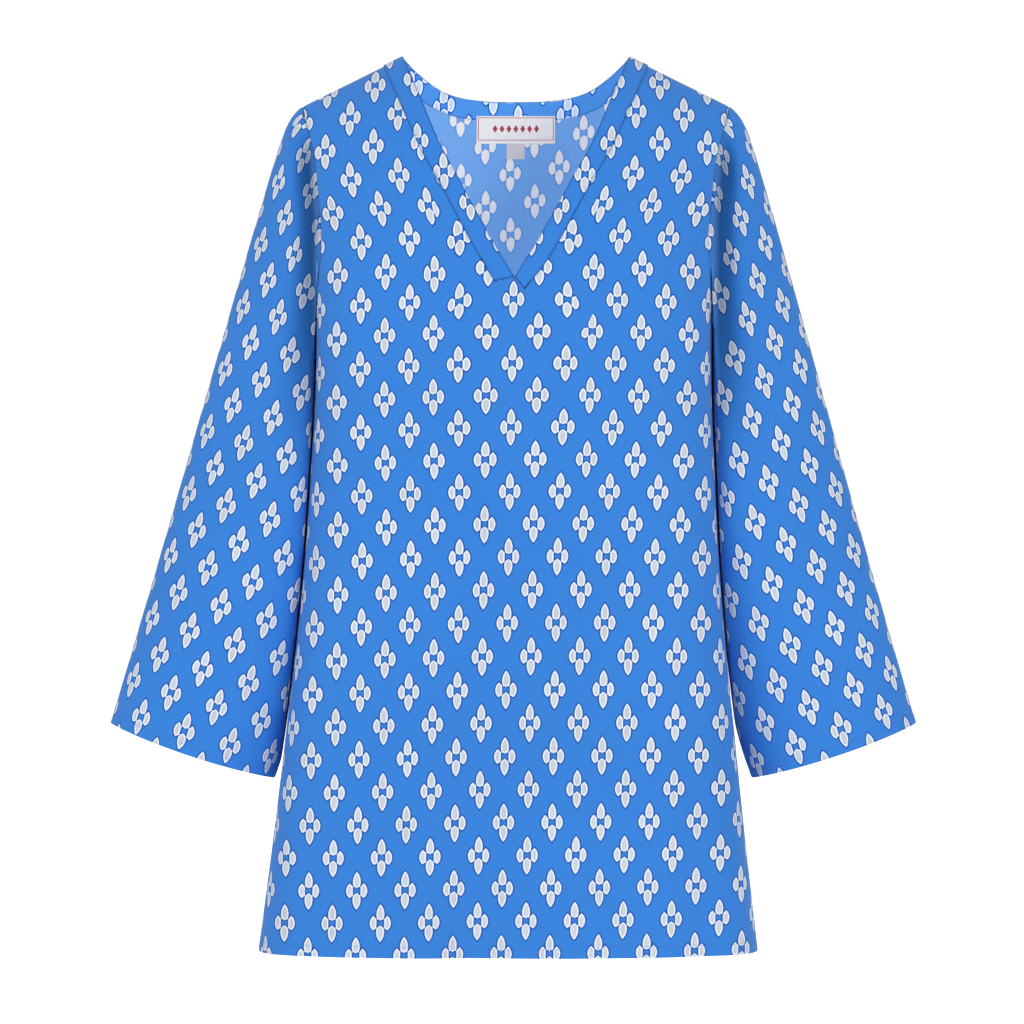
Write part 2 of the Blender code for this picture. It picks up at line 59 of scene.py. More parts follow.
# Shoulder seam, levels and neck
SEAM_GAP = 0.3
NECK_X = 103.7
SHOULDER_X = 196.0
SHOULDER_DROP = 45.5
SHOULDER_SLOPE = SHOULDER_DROP / (SHOULDER_X - NECK_X)
UNDERARM_Z = -243.0
UNDERARM_ROUND = 0.8
HEM_SIDE_Z = -818.5
V_POINT_Z = -207.0
BACK_NECK_Z = -34.3

# Level sections of the body, as in the solids
SECTION_COLUMNS = ("z", "half_width", "front_depth", "back_depth")
SECTIONS = (
    (0.0, 214.0, 97.0, 100.0),
    (-45.5, 209.6, 97.0, 104.0),
    (-95.0, 197.5, 98.0, 108.0),
    (-144.0, 191.0, 100.0, 110.0),
    (-194.0, 184.5, 103.0, 109.0),
    (-243.0, 181.5, 106.0, 106.0),
    (-311.0, 181.5, 106.0, 102.0),
    (-381.0, 185.0, 104.0, 99.0),
    (-444.0, 188.3, 103.0, 99.0),
    (-509.0, 193.4, 103.0, 101.0),
    (-625.0, 205.8, 105.0, 105.0),
    (-730.0, 217.6, 108.0, 109.0),
    (-822.0, 229.0, 111.0, 112.0),
)

# Neck edges, as height over distance from the centre
NECK_COLUMNS = ("x", "front_z", "back_z")
NECK_EDGE = (
    (0.0, V_POINT_Z, BACK_NECK_Z),
    (23.0, -169.0, -34.0),
    (38.4, -141.0, -32.8),
    (50.0, -119.0, -31.2),
    (68.5, -85.0, -25.4),
    (88.3, -37.5, -12.8),
    (NECK_X, 0.0, 0.0),
)

FACE_COLUMNS = ("side", "depth", "neck", "corner", "reach", "round", "hem_lift")
FACES = {
    "front": (-1.0, "front_depth", "front_z", 4.0, 190.0, 1.7, -1.0),
    "back": (1.0, "back_depth", "back_z", 3.4, 160.0, 2.2, -1.0),
}

# Soft lengthwise folds of the skirt
FOLD_COLUMNS = ("face", "hem_x", "lean", "width", "depth", "start_z")
FOLDS = (
    ("front", -34.0, 0.02, 24.0, -5.0, -330.0),
    ("front", -84.0, 0.05, 30.0, 3.0, -330.0),
    ("front", 52.0, -0.03, 38.0, 3.5, -360.0),
    ("front", 178.0, -0.10, 26.0, -5.0, -560.0),
    ("front", -186.0, 0.10, 24.0, -3.0, -620.0),
    ("back", 26.0, 0.02, 28.0, -5.0, -340.0),
    ("back", 92.0, -0.04, 32.0, 3.5, -360.0),
    ("back", -58.0, 0.04, 36.0, 3.5, -330.0),
    ("back", -150.0, 0.08, 26.0, -4.0, -520.0),
)
FOLD_GROWTH = 300.0
SWAY = -7.2
SWAY_TOP_Z = -50.0

# Fine panel grid: steps along the neck and shoulder, and distances in from an edge
NECK_STEPS = 40
SHOULDER_STEPS = 30
NECK_CROWDING = 1.5
EDGE_STEPS = (7.0, 4.0, 2.2, 1.1, 0.4, 0.0)
EDGE_ROOM = 2.0
SECTION_SAMPLES = 2001
EDGE_ROUNDS = 30
HEM_STEPS = (0.0, 0.4, 1.1, 2.4, 4.5, 7.0, 8.5, 9.1, 9.6, 10.1, 10.8, 12.5, 15.5, 20.0)
ROW_STEP = 5.2
ARMHOLE_ROWS = 62
TOP_CROWDING = (0.0005, 0.003, 0.008)
ROW_LENGTH_SPREAD = 45.0
ROW_LENGTH_SAMPLES = 400
ROW_LENGTH_SETTLED_Z = (-110.0, -190.0)
INNER_SHARE_LIMIT = 0.955

# Sleeves
SLEEVE_COLUMNS = ("node", "side", "cuff_x")
SLEEVES = (("sleeve_left", 1.0, 292.5), ("sleeve_right", -1.0, 297.5))
CUFF_Y = 2.0
CUFF_Z = -637.5
CUFF_HALF_WIDTH = 80.0
CUFF_HALF_DEPTH = 50.0
CUFF_TILT = math.radians(18.5)
CUFF_BOW = 3.0
SLEEVE_CLEARANCE = 1.6
CLEARANCE_GROWTH = 5.0
CLEARANCE_SOFTNESS = 1.0
CLEARANCE_BELOW_SEAM = 4.0
CLEARANCE_RING_Z = (-130.0, -200.0)
CLEARANCE_BODY_Z = (-250.0, -300.0)
HEAD_FULLNESS = 10.5
HEAD_ROUNDING = 10.0
LEAN_OUT = 0.295
LEAN_DOWN = 0.955
INNER_LEAN = 0.065
HEAD_STEPS = (0.0, 0.4, 1.1, 2.2, 4.0, 7.0, 11.0)
SLEEVE_REACH = 600.0
SLEEVE_ROW_STEP = 5.6

# Trough beside the armhole seam
TROUGH_X = 186.5
TROUGH_LEVEL = -150.0
TROUGH_LEAN = 0.09
TROUGH_WIDTH = 6.5
TROUGH_OUTER_WIDTH = (12.0, 24.0)
TROUGH_WIDENS_Z = (-150.0, -350.0)
TROUGH_DEPTH = 16.0
TROUGH_TOP_Z = -52.0
TROUGH_FULL_Z = -105.0
TROUGH_FADE_Z = -230.0
TROUGH_END_Z = -420.0
TROUGH_FACING = (12.0, 40.0)

# Seams and hems
SEAM_ROLL = 2.4
SEAM_ROLL_WIDTH = 1.1
SHOULDER_ROLL_SHARE = 0.35
SHOULDER_ROLL_Z = (-95.0, -60.0)
# SEAM_LINE is the width of the painted shade along seams and band edges
SEAM_LINE = 0.8
TUCK_REACH = 1.3
TUCK_DEPTH = 0.8
SHARP_ANGLE = math.radians(55)
# Share of the trough's depth given as painted shade
TROUGH_SHADE = 1.0
HEM_ROLL = 0.25
HEM_DENT = 0.28
HEM_DENT_WIDTH = 1.0
HEM_STITCH = 9.6
HEM_TURN = 12.5

# Bands, label and tab
BAND_TOP_WIDTH = 20.0
BAND_WIDTH = 17.4
BACK_BAND_WIDTH = 17.6
BAND_END_LENGTH = 30.0
BAND_END_COLUMNS = ("node", "side", "angle", "width")
BAND_ENDS = (
    ("neck_band_right", -1.0, math.radians(14.7), 18.2),
    ("neck_band_left", 1.0, math.radians(52.3), 15.0),
)
BAND_TAPER_Z = -120.0
BACK_BAND_TURN_X = 20.0
BAND_STEPS = 150
BAND_CROWDING = 1.6
BAND_SHARES = (0.0, 0.02, 0.05, 0.09, 0.16, 0.3, 0.45, 0.6, 0.75, 0.84, 0.88, 0.91, 0.95, 0.98, 1.0)
LABEL_HALF_WIDTH = 36.9
LABEL_TOP_Z = -46.5
LABEL_BOTTOM_Z = -71.7
TAB_HALF_WIDTH = 8.5
TAB_TOP_Z = -68.5
TAB_BOTTOM_Z = -86.3

# Distances of the skins from the outer surface, outwards positive
CLOTH_INNER = -0.7
HEM_OUTER = 1.4
HEM_INNER = 0.75
BAND_OUTER = 1.2
BAND_INNER = 0.15
BAND_ROLL = 0.7
BAND_ROLL_WIDTH = 0.9
BACK_BAND_OUTER = 1.6
BACK_BAND_INNER = 0.85
LABEL_OUTER = 2.15
LABEL_INNER = 1.8
TAB_OUTER = 1.35
TAB_INNER = 0.95
LABEL_GRID = (48, 16)
TAB_GRID = (8, 10)

# Print: where each piece's motifs lie on its cloth, and how they are turned and stretched
PRINT_COLUMNS = ("piece", "across", "up", "turn", "lean", "rise", "wide", "tall")
PRINT_PLACES = (
    ("front", -1.3, -287.3, 0.0, 0.0097, 0.0130, 1.001, 1.008),
    ("back", -5.0, -100.0, 0.0, 0.0, 0.0, 0.985, 1.008),
    ("back_inside", -5.0, -100.5, 0.0, -0.016, 0.138, 0.946, 1.036),
    ("sleeve_left", 17.5, -3.7, 0.0, -0.0053, 0.0754, 0.984, 1.010),
    ("sleeve_right", 49.1, 15.5, 0.0, -0.0092, 0.0012, 0.992, 0.997),
    ("neck_band_left", 62.6, -114.6, -3.0, 0.0, 0.0, 1.0, 1.0),
    ("neck_band_right", -64.4, -111.7, 4.0, 0.0, 0.0, 1.0, 1.0),
    ("neck_band_back", 48.7, -44.4, 0.0, 0.0, 0.2, 0.94, 1.0),
)
PRINT_SPREAD = 1.9e-5
PRINT_SPREAD_MIDDLE = -550.0
PRINT_SPREAD_Z = (-490.0, -257.0)
PRINT_APART = 5.3
PRINT_APART_X = (10.0, 60.0)
PRINT_NECK_APART = 14.3
PRINT_NECK_Z = (-190.0, -90.0)
PRINT_BOW = -3.0e-7
PRINT_BOW_LEVEL = -880.0
PRINT_BUMP = 4.6
PRINT_BUMP_Z = -430.0
PRINT_BUMP_WIDTH = 170.0
SIDE_PRINT_SHARE = 0.75
SHOULDER_PRINT_SHARE = 0.65
SHOULDER_PRINT_DROP = (40.0, 20.0)
STRIP_NEAR = (24.0, 12.0)
STRIP_FAR = 60.0
STRIP_LOW_Z = (-300.0, -260.0)
STRIP_TOP_Z = (-60.0, -85.0)
STRIP_FACING = (15.0, 30.0)
PRINT_EDGE = 1.25
PRINT_SOFTNESS = 0.35
PETAL_TINT = 0.25
PETAL_GLOSS = 0.06
UPPER_PETAL = {"radius": 13.1, "half_width": 3.55, "middle": 8.2, "start": 2.3, "slope": 1.0, "base": 3.4}
LOWER_PETAL = {"radius": 12.7, "half_width": 3.65, "middle": 8.2, "start": 1.9, "slope": 0.8, "base": 9.0}
SIDE_PETAL = {"radius": 8.45, "centre": 1.15, "start": 3.5}
SIDE_SLANTS = ((1.0, 3.6, math.radians(47.9)), (-1.0, 4.4, math.radians(32.6)))

# Weave, sheen and unevenness of the cloth
THREAD = 0.5
THREAD_UNEVENNESS = 0.6
THREAD_STRETCH = 0.12
WEAVE_DEPTH = 0.05
SLUB_DEPTH = 0.5
COLOUR_DRIFT = 0.1
FLECK = 0.05
# Colours that the cloth and its petals are multiplied towards along seams and in the trough: painted shade
CREASE_PAINTED_SHADE_TINT = (0.0, 0.34, 0.40)
CREASE_PETAL_PAINTED_SHADE_TINT = (0.36, 0.42, 0.52)
CLOTH_SHEEN = 0.25
SHEEN_TINT = (0.5, 0.7, 1.0)
CLOTH_SPECULAR = 0.25
# Emission in their own colour of the wrong side and the band inside the neck: painted light
INSIDE_PAINTED_GLOW = 0.44
# Emission in their own colour of the label and tab: painted light
LABEL_PAINTED_GLOW = 0.25

# Stitches: shares of the length and lift of each capsule's tips and rings
STITCH_SHARES = (-1.0, -0.62, 0.62, 1.0)
STITCH_LIFTS = (-1.2, 1.0, 1.0, -1.2)
STITCH_THICKNESS = 0.36
STITCH_LIFT = 0.1
BAND_STITCH_COLUMN = -4

# Woven ornament of the label
LABEL_THREAD = 0.35
LABEL_BORDER = 1.6
LABEL_BORDER_WIDTH = 0.35
LOZENGE_PITCH = 6.5
LOZENGE_SIZE = 2.4
LOZENGE_FLATNESS = 0.62
LOZENGE_REACH = 22.4

# Camera, worked out from the size of the picture at the shoulder plane
PICTURE_PIXELS = 1024
PIXEL = 0.92
CENTRE_PIXEL = 516.0
EYE_DISTANCE = 4500.0
EYE_Z = -418.6
SENSOR = 36.0
FLOOR_Z = -1.42
FLOOR_RADIUS = 30.0
FLOOR_SIDES = 64
FLOOR_GLOW = 1.0

# Lights, in metres
LIGHT_TARGET = (0.0, 0.0, -0.42)
KEY_PLACE = (-3.3, -2.8, 1.2)
KEY_SIZE = 1.8
FILL_PLACE = (1.9, -4.1, 0.1)
FILL_SIZE = 1.6


def column(table, names, name):
    """One named column of a table."""
    place = names.index(name)
    return np.array([row[place] for row in table])


def smooth(known, values, wanted):
    """Cubic curve through a table's values, with slopes taken from each row's neighbours."""
    order = np.argsort(known)
    known, values = known[order], values[order]
    slopes = np.gradient(values, known)
    at = np.clip(np.asarray(wanted, dtype=float), known[0], known[-1])
    i = np.clip(np.searchsorted(known, at) - 1, 0, len(known) - 2)
    span = known[i + 1] - known[i]
    t = (at - known[i]) / span
    start = (1 + 2 * t) * (1 - t) ** 2 * values[i] + t * (1 - t) ** 2 * span * slopes[i]
    end = t * t * (3 - 2 * t) * values[i + 1] + t * t * (t - 1) * span * slopes[i + 1]
    return start + end


def ease(value, low, high):
    """Smooth step from 0 at low to 1 at high."""
    t = np.clip((value - low) / (high - low), 0.0, 1.0)
    return t * t * (3 - 2 * t)


def bell(value, width):
    """Bell of height 1 at 0."""
    return np.exp(-((value / width) ** 2))


def section(name, z):
    """A named size of the body's level section at height z."""
    return smooth(column(SECTIONS, SECTION_COLUMNS, "z"), column(SECTIONS, SECTION_COLUMNS, name), z)


def face_value(face, name):
    return FACES[face][FACE_COLUMNS.index(name)]


def shoulder_height(x):
    """Height of the shoulder seam over x, carried on in a curve over the neck."""
    past = np.clip(NECK_X - x, 0.0, None)
    over_neck = SHOULDER_SLOPE * past * (1 - past / (2 * NECK_X))
    return over_neck - SHOULDER_SLOPE * np.clip(x - NECK_X, 0.0, None)


def shoulder_rounding(face, x, z):
    """0 on the shoulder seam, rising along a rounded quarter to 1 at the face's reach."""
    power = face_value(face, "round")
    drop = np.clip((shoulder_height(np.abs(x)) - z) / face_value(face, "reach"), 0.0, 1.0)
    return (1 - (1 - drop) ** power) ** (1 / power)


def folds(face, x, z):
    """Sum of the soft lengthwise folds: a bell across each, growing from its start down to the hem."""
    total = np.zeros_like(x)
    for name, hem_x, lean, width, depth, start_z in FOLDS:
        if name == face:
            middle = hem_x + lean * (z - HEM_SIDE_Z)
            total = total + depth * ease(start_z - z, 0.0, FOLD_GROWTH) * bell(x - middle, width)
    return total


def section_turn(face, bend):
    """Share of the half width that goes with a share of the depth, on the rounded section."""
    corner = face_value(face, "corner")
    return (1 - np.clip(bend, 0, 1) ** corner) ** (1 / corner)


def panel_depth(face, x, z):
    """Distance of the cloth from the shoulder plane: depth of the section times its rounded
    turn towards the side and its rounding towards the shoulder, plus the folds."""
    across = section_turn(face, np.abs(x) / section("half_width", z))
    body = section(face_value(face, "depth"), z) * across * shoulder_rounding(face, x, z)
    return body + folds(face, x, z) * across + SEAM_GAP / 2


def sway(z):
    """How far the body's middle hangs to one side at height z."""
    return SWAY * np.clip((SWAY_TOP_Z - z) / (SWAY_TOP_Z - HEM_SIDE_Z), 0, None)


def panel_surface(face, x, z):
    """Points of a panel's outer surface over x, counted from the body's middle, and z."""
    return np.stack([x + sway(z), face_value(face, "side") * panel_depth(face, x, z), z], axis=-1)


def armhole_rows():
    """Angle along the armhole above the underarm, up to pi at the shoulder, crowded at its end."""
    turn = np.linspace(0.0, math.pi, ARMHOLE_ROWS + 1)[1:-1]
    return np.concatenate([turn, math.pi * (1 - np.array(TOP_CROWDING[::-1])), [math.pi]])


def armhole_height(turn):
    middle = (UNDERARM_Z - SHOULDER_DROP) / 2
    return middle - (-SHOULDER_DROP - UNDERARM_Z) / 2 * np.cos(turn)


def armhole_bend(face, turn):
    """Share of the section's depth where the armhole seam lies, 0 at the underarm."""
    shoulder = section_turn(face, SHOULDER_X / section("half_width", -SHOULDER_DROP))
    return shoulder * np.sin(np.minimum(turn, math.pi / 2)) ** UNDERARM_ROUND


def column_shares():
    """How far along a row each inner column lies: crowded towards the neck end of the
    shoulder seam, then even. The edge's own columns are added by their distances."""
    neck_end = NECK_X / section("half_width", 0.0) / (SHOULDER_X / section("half_width", -SHOULDER_DROP))
    neck = neck_end * (1 - (1 - np.linspace(0, 1, NECK_STEPS + 1)) ** NECK_CROWDING)
    shoulder = np.linspace(neck_end, INNER_SHARE_LIMIT, SHOULDER_STEPS + 1)
    return np.concatenate([neck, shoulder[1:]])


def top_edge(face, share_of_width):
    """Height of the panel's top edge in each column: the neck edge, then the shoulder seam."""
    neck_x = column(NECK_EDGE, NECK_COLUMNS, "x")
    neck_z = column(NECK_EDGE, NECK_COLUMNS, face_value(face, "neck"))
    z = np.zeros_like(share_of_width)
    for _ in range(EDGE_ROUNDS):
        x = share_of_width * section("half_width", z)
        z = np.where(x < NECK_X, smooth(neck_x, neck_z, x), shoulder_height(x))
    return z


def settled_lengths(z, lengths):
    """Row lengths that the inner columns follow: averaged with a bell over height, so that the
    columns run on smoothly past the underarm. Rows near the shoulder keep their own lengths."""
    levels = np.linspace(z[0], z[-1], ROW_LENGTH_SAMPLES)
    known = np.interp(levels, z, lengths)
    weight = bell(z[:, None] - levels, ROW_LENGTH_SPREAD)
    averaged = (weight * known).sum(axis=1) / weight.sum(axis=1)
    settled = lengths + ease(z, *ROW_LENGTH_SETTLED_Z) * (averaged - lengths)
    return np.minimum(settled, (lengths - EDGE_STEPS[0] - EDGE_ROOM) / INNER_SHARE_LIMIT)


def lower_rows():
    """Heights from the hem to the underarm: set distances at the hem, then even steps."""
    start = HEM_SIDE_Z + HEM_STEPS[-1]
    steps = round((UNDERARM_Z - start) / ROW_STEP)
    return np.concatenate([HEM_SIDE_Z + np.array(HEM_STEPS), np.linspace(start, UNDERARM_Z, steps + 1)[1:]])


@functools.cache
def panel_grid(face):
    """Grid of a whole panel: rows from hem to neck and shoulder, columns from side to side.

    A row runs along the level section from the centre to the side seam or the armhole,
    each column at its own share of the row's length. It is level at the hem and takes on
    more and more of the top edge's shape on the way up. Returns x from the body's middle,
    z, the points and each point's distance along its level section.
    """
    lower = lower_rows()
    turn = armhole_rows()
    edge_z = np.concatenate([lower, armhole_height(turn)])
    edge_bend = np.concatenate([np.zeros(len(lower)), armhole_bend(face, turn)])
    share_up = (edge_z - HEM_SIDE_Z) / (-SHOULDER_DROP - HEM_SIDE_Z)
    corner = face_value(face, "corner")
    shares = column_shares()
    angle = np.linspace(0, math.pi / 2, SECTION_SAMPLES)
    wides, lengths = [], []
    for z, bend in zip(edge_z, edge_bend):
        edge = section_turn(face, bend)
        rounding = shoulder_rounding(face, edge * section("half_width", z), z)
        flatness = section(face_value(face, "depth"), z) * rounding / section("half_width", z)
        wide, deep = np.sin(angle) ** (2 / corner), np.cos(angle) ** (2 / corner)
        wide, deep = np.append(wide[wide < edge], edge), np.append(deep[wide < edge], bend)
        reach = np.cumsum(np.hypot(np.diff(wide), flatness * np.diff(deep)))
        wides.append(wide)
        lengths.append(np.concatenate([[0], reach]) * section("half_width", z))
    whole = np.array([length[-1] for length in lengths])
    along = [
        np.concatenate([shares * settled, length[-1] - np.array(EDGE_STEPS)])
        for length, settled in zip(lengths, settled_lengths(edge_z, whole))
    ]
    rows = np.array([np.interp(*row) for row in zip(along, lengths, wides)])
    along = np.array(along)

    tilt = top_edge(face, rows) - top_edge(face, rows[:, -1:])
    lift = face_value(face, "hem_lift") * np.cos(rows * math.pi / 2)
    rows_z = edge_z[:, None] + share_up[:, None] * tilt + (1 - share_up[:, None]) * lift
    rows_x = rows * section("half_width", rows_z)
    x = np.concatenate([-rows_x[:, :0:-1], rows_x], axis=1)
    z = np.concatenate([rows_z[:, :0:-1], rows_z], axis=1)
    points = panel_surface(face, x, z)
    points[: len(lower), [0, -1], 1] = face_value(face, "side") * SEAM_GAP / 2
    return x, z, points, np.concatenate([-along[:, :0:-1], along], axis=1)


def grid_normals(points):
    """Unit normals of a grid: the cross product of its column and row directions."""
    normals = np.cross(np.gradient(points, axis=0), np.gradient(points, axis=1))
    return normals / np.maximum(np.linalg.norm(normals, axis=-1, keepdims=True), 1e-9)


def spacing(points, axis):
    """Distance run along a grid's rows or columns, from its first point."""
    step = np.linalg.norm(np.diff(points, axis=axis), axis=-1)
    first = np.zeros_like(np.take(step, [0], axis=axis))
    return np.concatenate([first, np.cumsum(step, axis=axis)], axis=axis)


def edge_distances(points):
    """Distances along the grid from its first row, last row and nearer side edge."""
    up = spacing(points, 0)
    across = spacing(points, 1)
    return up, up[-1:] - up, np.minimum(across, across[:, -1:] - across)


def panel_cloth(face):
    """Place of each panel point on the flat cloth, in millimetres: the level distance from the
    middle and the height, both run along the surface where it turns away at its edges."""
    x, z, points, along = panel_grid(face)
    steps = np.maximum(np.abs(np.diff(x, axis=1)), SIDE_PRINT_SHARE * np.diff(along, axis=1))
    across = np.concatenate([np.zeros((len(x), 1)), np.cumsum(steps, axis=1)], axis=1)
    share = SHOULDER_PRINT_SHARE * ease(shoulder_height(np.abs(x)) - z, *SHOULDER_PRINT_DROP)
    rises = np.maximum(np.diff(z, axis=0), share[1:] * np.diff(spacing(points, 0), axis=0))
    up = np.concatenate([z[:1], z[:1] + np.cumsum(rises, axis=0)])
    return across - across[:, [across.shape[1] // 2]], up


def seam_rolled(points, normals, distances, roll=SEAM_ROLL, width=SEAM_ROLL_WIDTH):
    """Points sunk along the normals by a bell of their distance from a seam, so it rounds in."""
    return points - normals * (roll * bell(distances, width))[..., None]


def flatter_at_shoulder(points):
    """Share of the seams' roll: low along the shoulder seam, full from a little below it."""
    return 1 - (1 - SHOULDER_ROLL_SHARE) * ease(points[..., 2], *SHOULDER_ROLL_Z)


@functools.cache
def panel_form(face):
    """Outer surface, normals, cloth places and painted shade of a panel with its seams rolled in and
    its hem pressed: a dent along the hem's stitching and a rolled lower edge. The painted shade darkens the colour
    along its seams and edges."""
    _, _, points, _ = panel_grid(face)
    normals = grid_normals(points)
    if face_value(face, "side") * normals[0, points.shape[1] // 2, 1] < 0:
        normals = -normals
    up, down, side = edge_distances(points)
    rolled = seam_rolled(points, normals, np.minimum(side, down), SEAM_ROLL * flatter_at_shoulder(points))
    sunk = HEM_ROLL * bell(up, SEAM_ROLL_WIDTH) + HEM_DENT * bell(up - HEM_STITCH, HEM_DENT_WIDTH)
    # Painted shade along the side seams and the upper edges
    shade = bell(np.minimum(side, down), SEAM_LINE)
    return rolled - normals * sunk[..., None], normals, panel_cloth(face), shade


def armhole_ring(side):
    """An armhole seam, seen as if on the +X side: from the underarm up the front, down the
    back and round to the underarm again."""
    edge = -1 if side > 0 else 0
    first = len(lower_rows()) - 1
    forward = panel_grid("front")[2][first:, edge]
    rearward = panel_grid("back")[2][first:, edge]
    ring = np.concatenate([forward, rearward[-2::-1]]) * (side, 1.0, 1.0)
    ring[[0, len(forward) - 1, -1], 1] = 0.0
    ring[:, 0] += SEAM_GAP
    return ring, len(forward) - 1


def body_side(side, y, z):
    """How far the body reaches to the given side at depth y and height z."""
    front = section_turn("front", np.abs(y) / section("front_depth", z))
    back = section_turn("back", np.abs(y) / section("back_depth", z))
    return section("half_width", z) * np.where(y < 0, front, back) + side * sway(z)


def clear_of_body(points, ring, side):
    """Hold points below the armhole just outside the body's side, more so away from the seam."""
    gone = np.linalg.norm(points - ring, axis=-1)
    wanted = SEAM_GAP + SLEEVE_CLEARANCE * (1 - np.exp(-gone / CLEARANCE_GROWTH))
    room = points[..., 0] - body_side(side, points[..., 1], points[..., 2]) - wanted
    lift = 0.5 * (np.sqrt(room**2 + CLEARANCE_SOFTNESS**2) - room)
    below = ease(ring[:, 2] - points[..., 2], 0.0, CLEARANCE_BELOW_SEAM)
    beside = np.maximum(ease(ring[:, 2], *CLEARANCE_RING_Z), ease(points[..., 2], *CLEARANCE_BODY_Z))
    cleared = points.copy()
    cleared[..., 0] += lift * below * beside
    return cleared


def trough(points):
    """Share of its full depth that the trough beside the armhole seam has at each point: a bell
    across, steep towards the seam and soft outwards, wider and wider on its way down, which
    fades at its ends and at the sides."""
    x, y, z = points[..., 0], points[..., 1], points[..., 2]
    deep = ease(z, TROUGH_TOP_Z, TROUGH_FULL_Z) * ease(z, TROUGH_END_Z, TROUGH_FADE_Z)
    off = x - TROUGH_X - TROUGH_LEAN * np.clip(z - TROUGH_LEVEL, 0.0, None)
    narrow, wide = TROUGH_OUTER_WIDTH
    outer = narrow + (wide - narrow) * ease(z, *TROUGH_WIDENS_Z)
    across = bell(off, np.where(off > 0, outer, TROUGH_WIDTH))
    return deep * across * ease(np.abs(y), *TROUGH_FACING)


def sleeve_rows():
    """Places along the sleeve, 0 at the armhole and 1 at the cuff, crowded at both ends."""
    head = np.array(HEAD_STEPS)
    cuff = SLEEVE_REACH - np.array(HEM_STEPS[::-1])
    steps = round((cuff[0] - head[-1]) / SLEEVE_ROW_STEP)
    middle = np.linspace(head[-1], cuff[0], steps + 1)
    return np.concatenate([head, middle[1:-1], cuff]) / SLEEVE_REACH


@functools.cache
def sleeve_grid(side, cuff_x):
    """A sleeve, worked out as if on the +X side: rows from armhole to cuff, columns round the
    tube from the underarm seam and back to it.

    Each column is a cubic curve to its cuff point from its armhole point, which is first
    moved out by the fullness of the sleeve head and drawn back in over the first stretch.
    The inner side is then held just clear of the body.
    """
    ring, top = armhole_ring(side)
    angle = np.linspace(0, 2 * math.pi, len(ring))
    outward = np.array([math.cos(CUFF_TILT), 0.0, math.sin(CUFF_TILT)])
    down = np.array([math.sin(CUFF_TILT), 0.0, -math.cos(CUFF_TILT)])
    forward = np.array([0.0, -1.0, 0.0])
    cuff = (
        np.array([cuff_x, CUFF_Y, CUFF_Z])
        - CUFF_HALF_WIDTH * np.cos(angle)[:, None] * outward
        + CUFF_HALF_DEPTH * np.sin(angle)[:, None] * forward
        + CUFF_BOW * (np.sin(angle) ** 2)[:, None] * down
    )
    fullness = HEAD_FULLNESS * ((1 - np.cos(angle)) / 2)[:, None] ** 3 * np.array([1.0, 0.0, 0.0])
    start = ring + fullness
    reach = np.linalg.norm(cuff - start, axis=1)[:, None]
    leave = np.stack([LEAN_OUT / 2 * (1 - np.cos(angle)), 0 * angle, np.full_like(angle, -LEAN_DOWN)], axis=1)
    lean = LEAN_OUT + INNER_LEAN * (1 + np.cos(angle)) / 2
    arrive = np.stack([lean, 0 * angle, np.full_like(angle, -LEAN_DOWN)], axis=1)
    u = sleeve_rows()[:, None, None]
    points = (
        (1 + 2 * u) * (1 - u) ** 2 * start
        + u * (1 - u) ** 2 * reach * leave
        + u * u * (3 - 2 * u) * cuff
        - u * u * (1 - u) * reach * arrive
        - fullness * np.exp(-u * reach / HEAD_ROUNDING)
    )
    points[1:] = clear_of_body(points[1:], ring, side)
    points[:, 0, 1] -= SEAM_GAP / 2
    points[:, -1, 1] += SEAM_GAP / 2
    return points, top


def settled_beside_seam(points, across, up, fold):
    """Across of one half of a sleeve, with the strip beside the armhole seam laid on a quadratic
    of up and of the place square to the fold, fitted to the cloth just outside the strip."""
    x, z = points[..., 0], points[..., 2]
    seam = points[0] if points[0, 0, 2] < points[0, -1, 2] else points[0, ::-1]
    near = x - np.interp(z, seam[:, 2], seam[:, 0])
    square = x * fold[2] - z * fold[0]
    terms = np.stack([np.ones_like(x), square, up, square**2, square * up, up**2], axis=-1)
    facing = ease(np.abs(points[..., 1]), *STRIP_FACING)
    known = (near > STRIP_NEAR[1]) & (near < STRIP_FAR) & (z > STRIP_LOW_Z[0]) & (z < STRIP_TOP_Z[0])
    factors, *_ = np.linalg.lstsq(terms[known], across[known], rcond=None)
    share = facing * ease(near, *STRIP_NEAR) * ease(z, *STRIP_LOW_Z) * ease(z, *STRIP_TOP_Z)
    return across + share * (terms @ factors - across)


def sleeve_cloth(points, top):
    """Place of each sleeve point on the flat cloth, in millimetres: up runs along the outer
    fold, and across is the distance run round the tube square to it, from that fold."""
    fold = points[0, top] - points[-1, top]
    fold = fold / np.linalg.norm(fold)
    up = (points - points[-1, top]) @ fold
    step = np.diff(points, axis=1)
    round_step = np.sqrt(np.clip((step**2).sum(axis=-1) - (step @ fold) ** 2, 0, None))
    across = np.concatenate([np.zeros((len(points), 1)), np.cumsum(round_step, axis=1)], axis=1)
    across = across - across[:, [top]]
    for half in (slice(None, top + 1), slice(top, None)):
        across[:, half] = settled_beside_seam(points[:, half], across[:, half], up[:, half], fold)
    return across, up


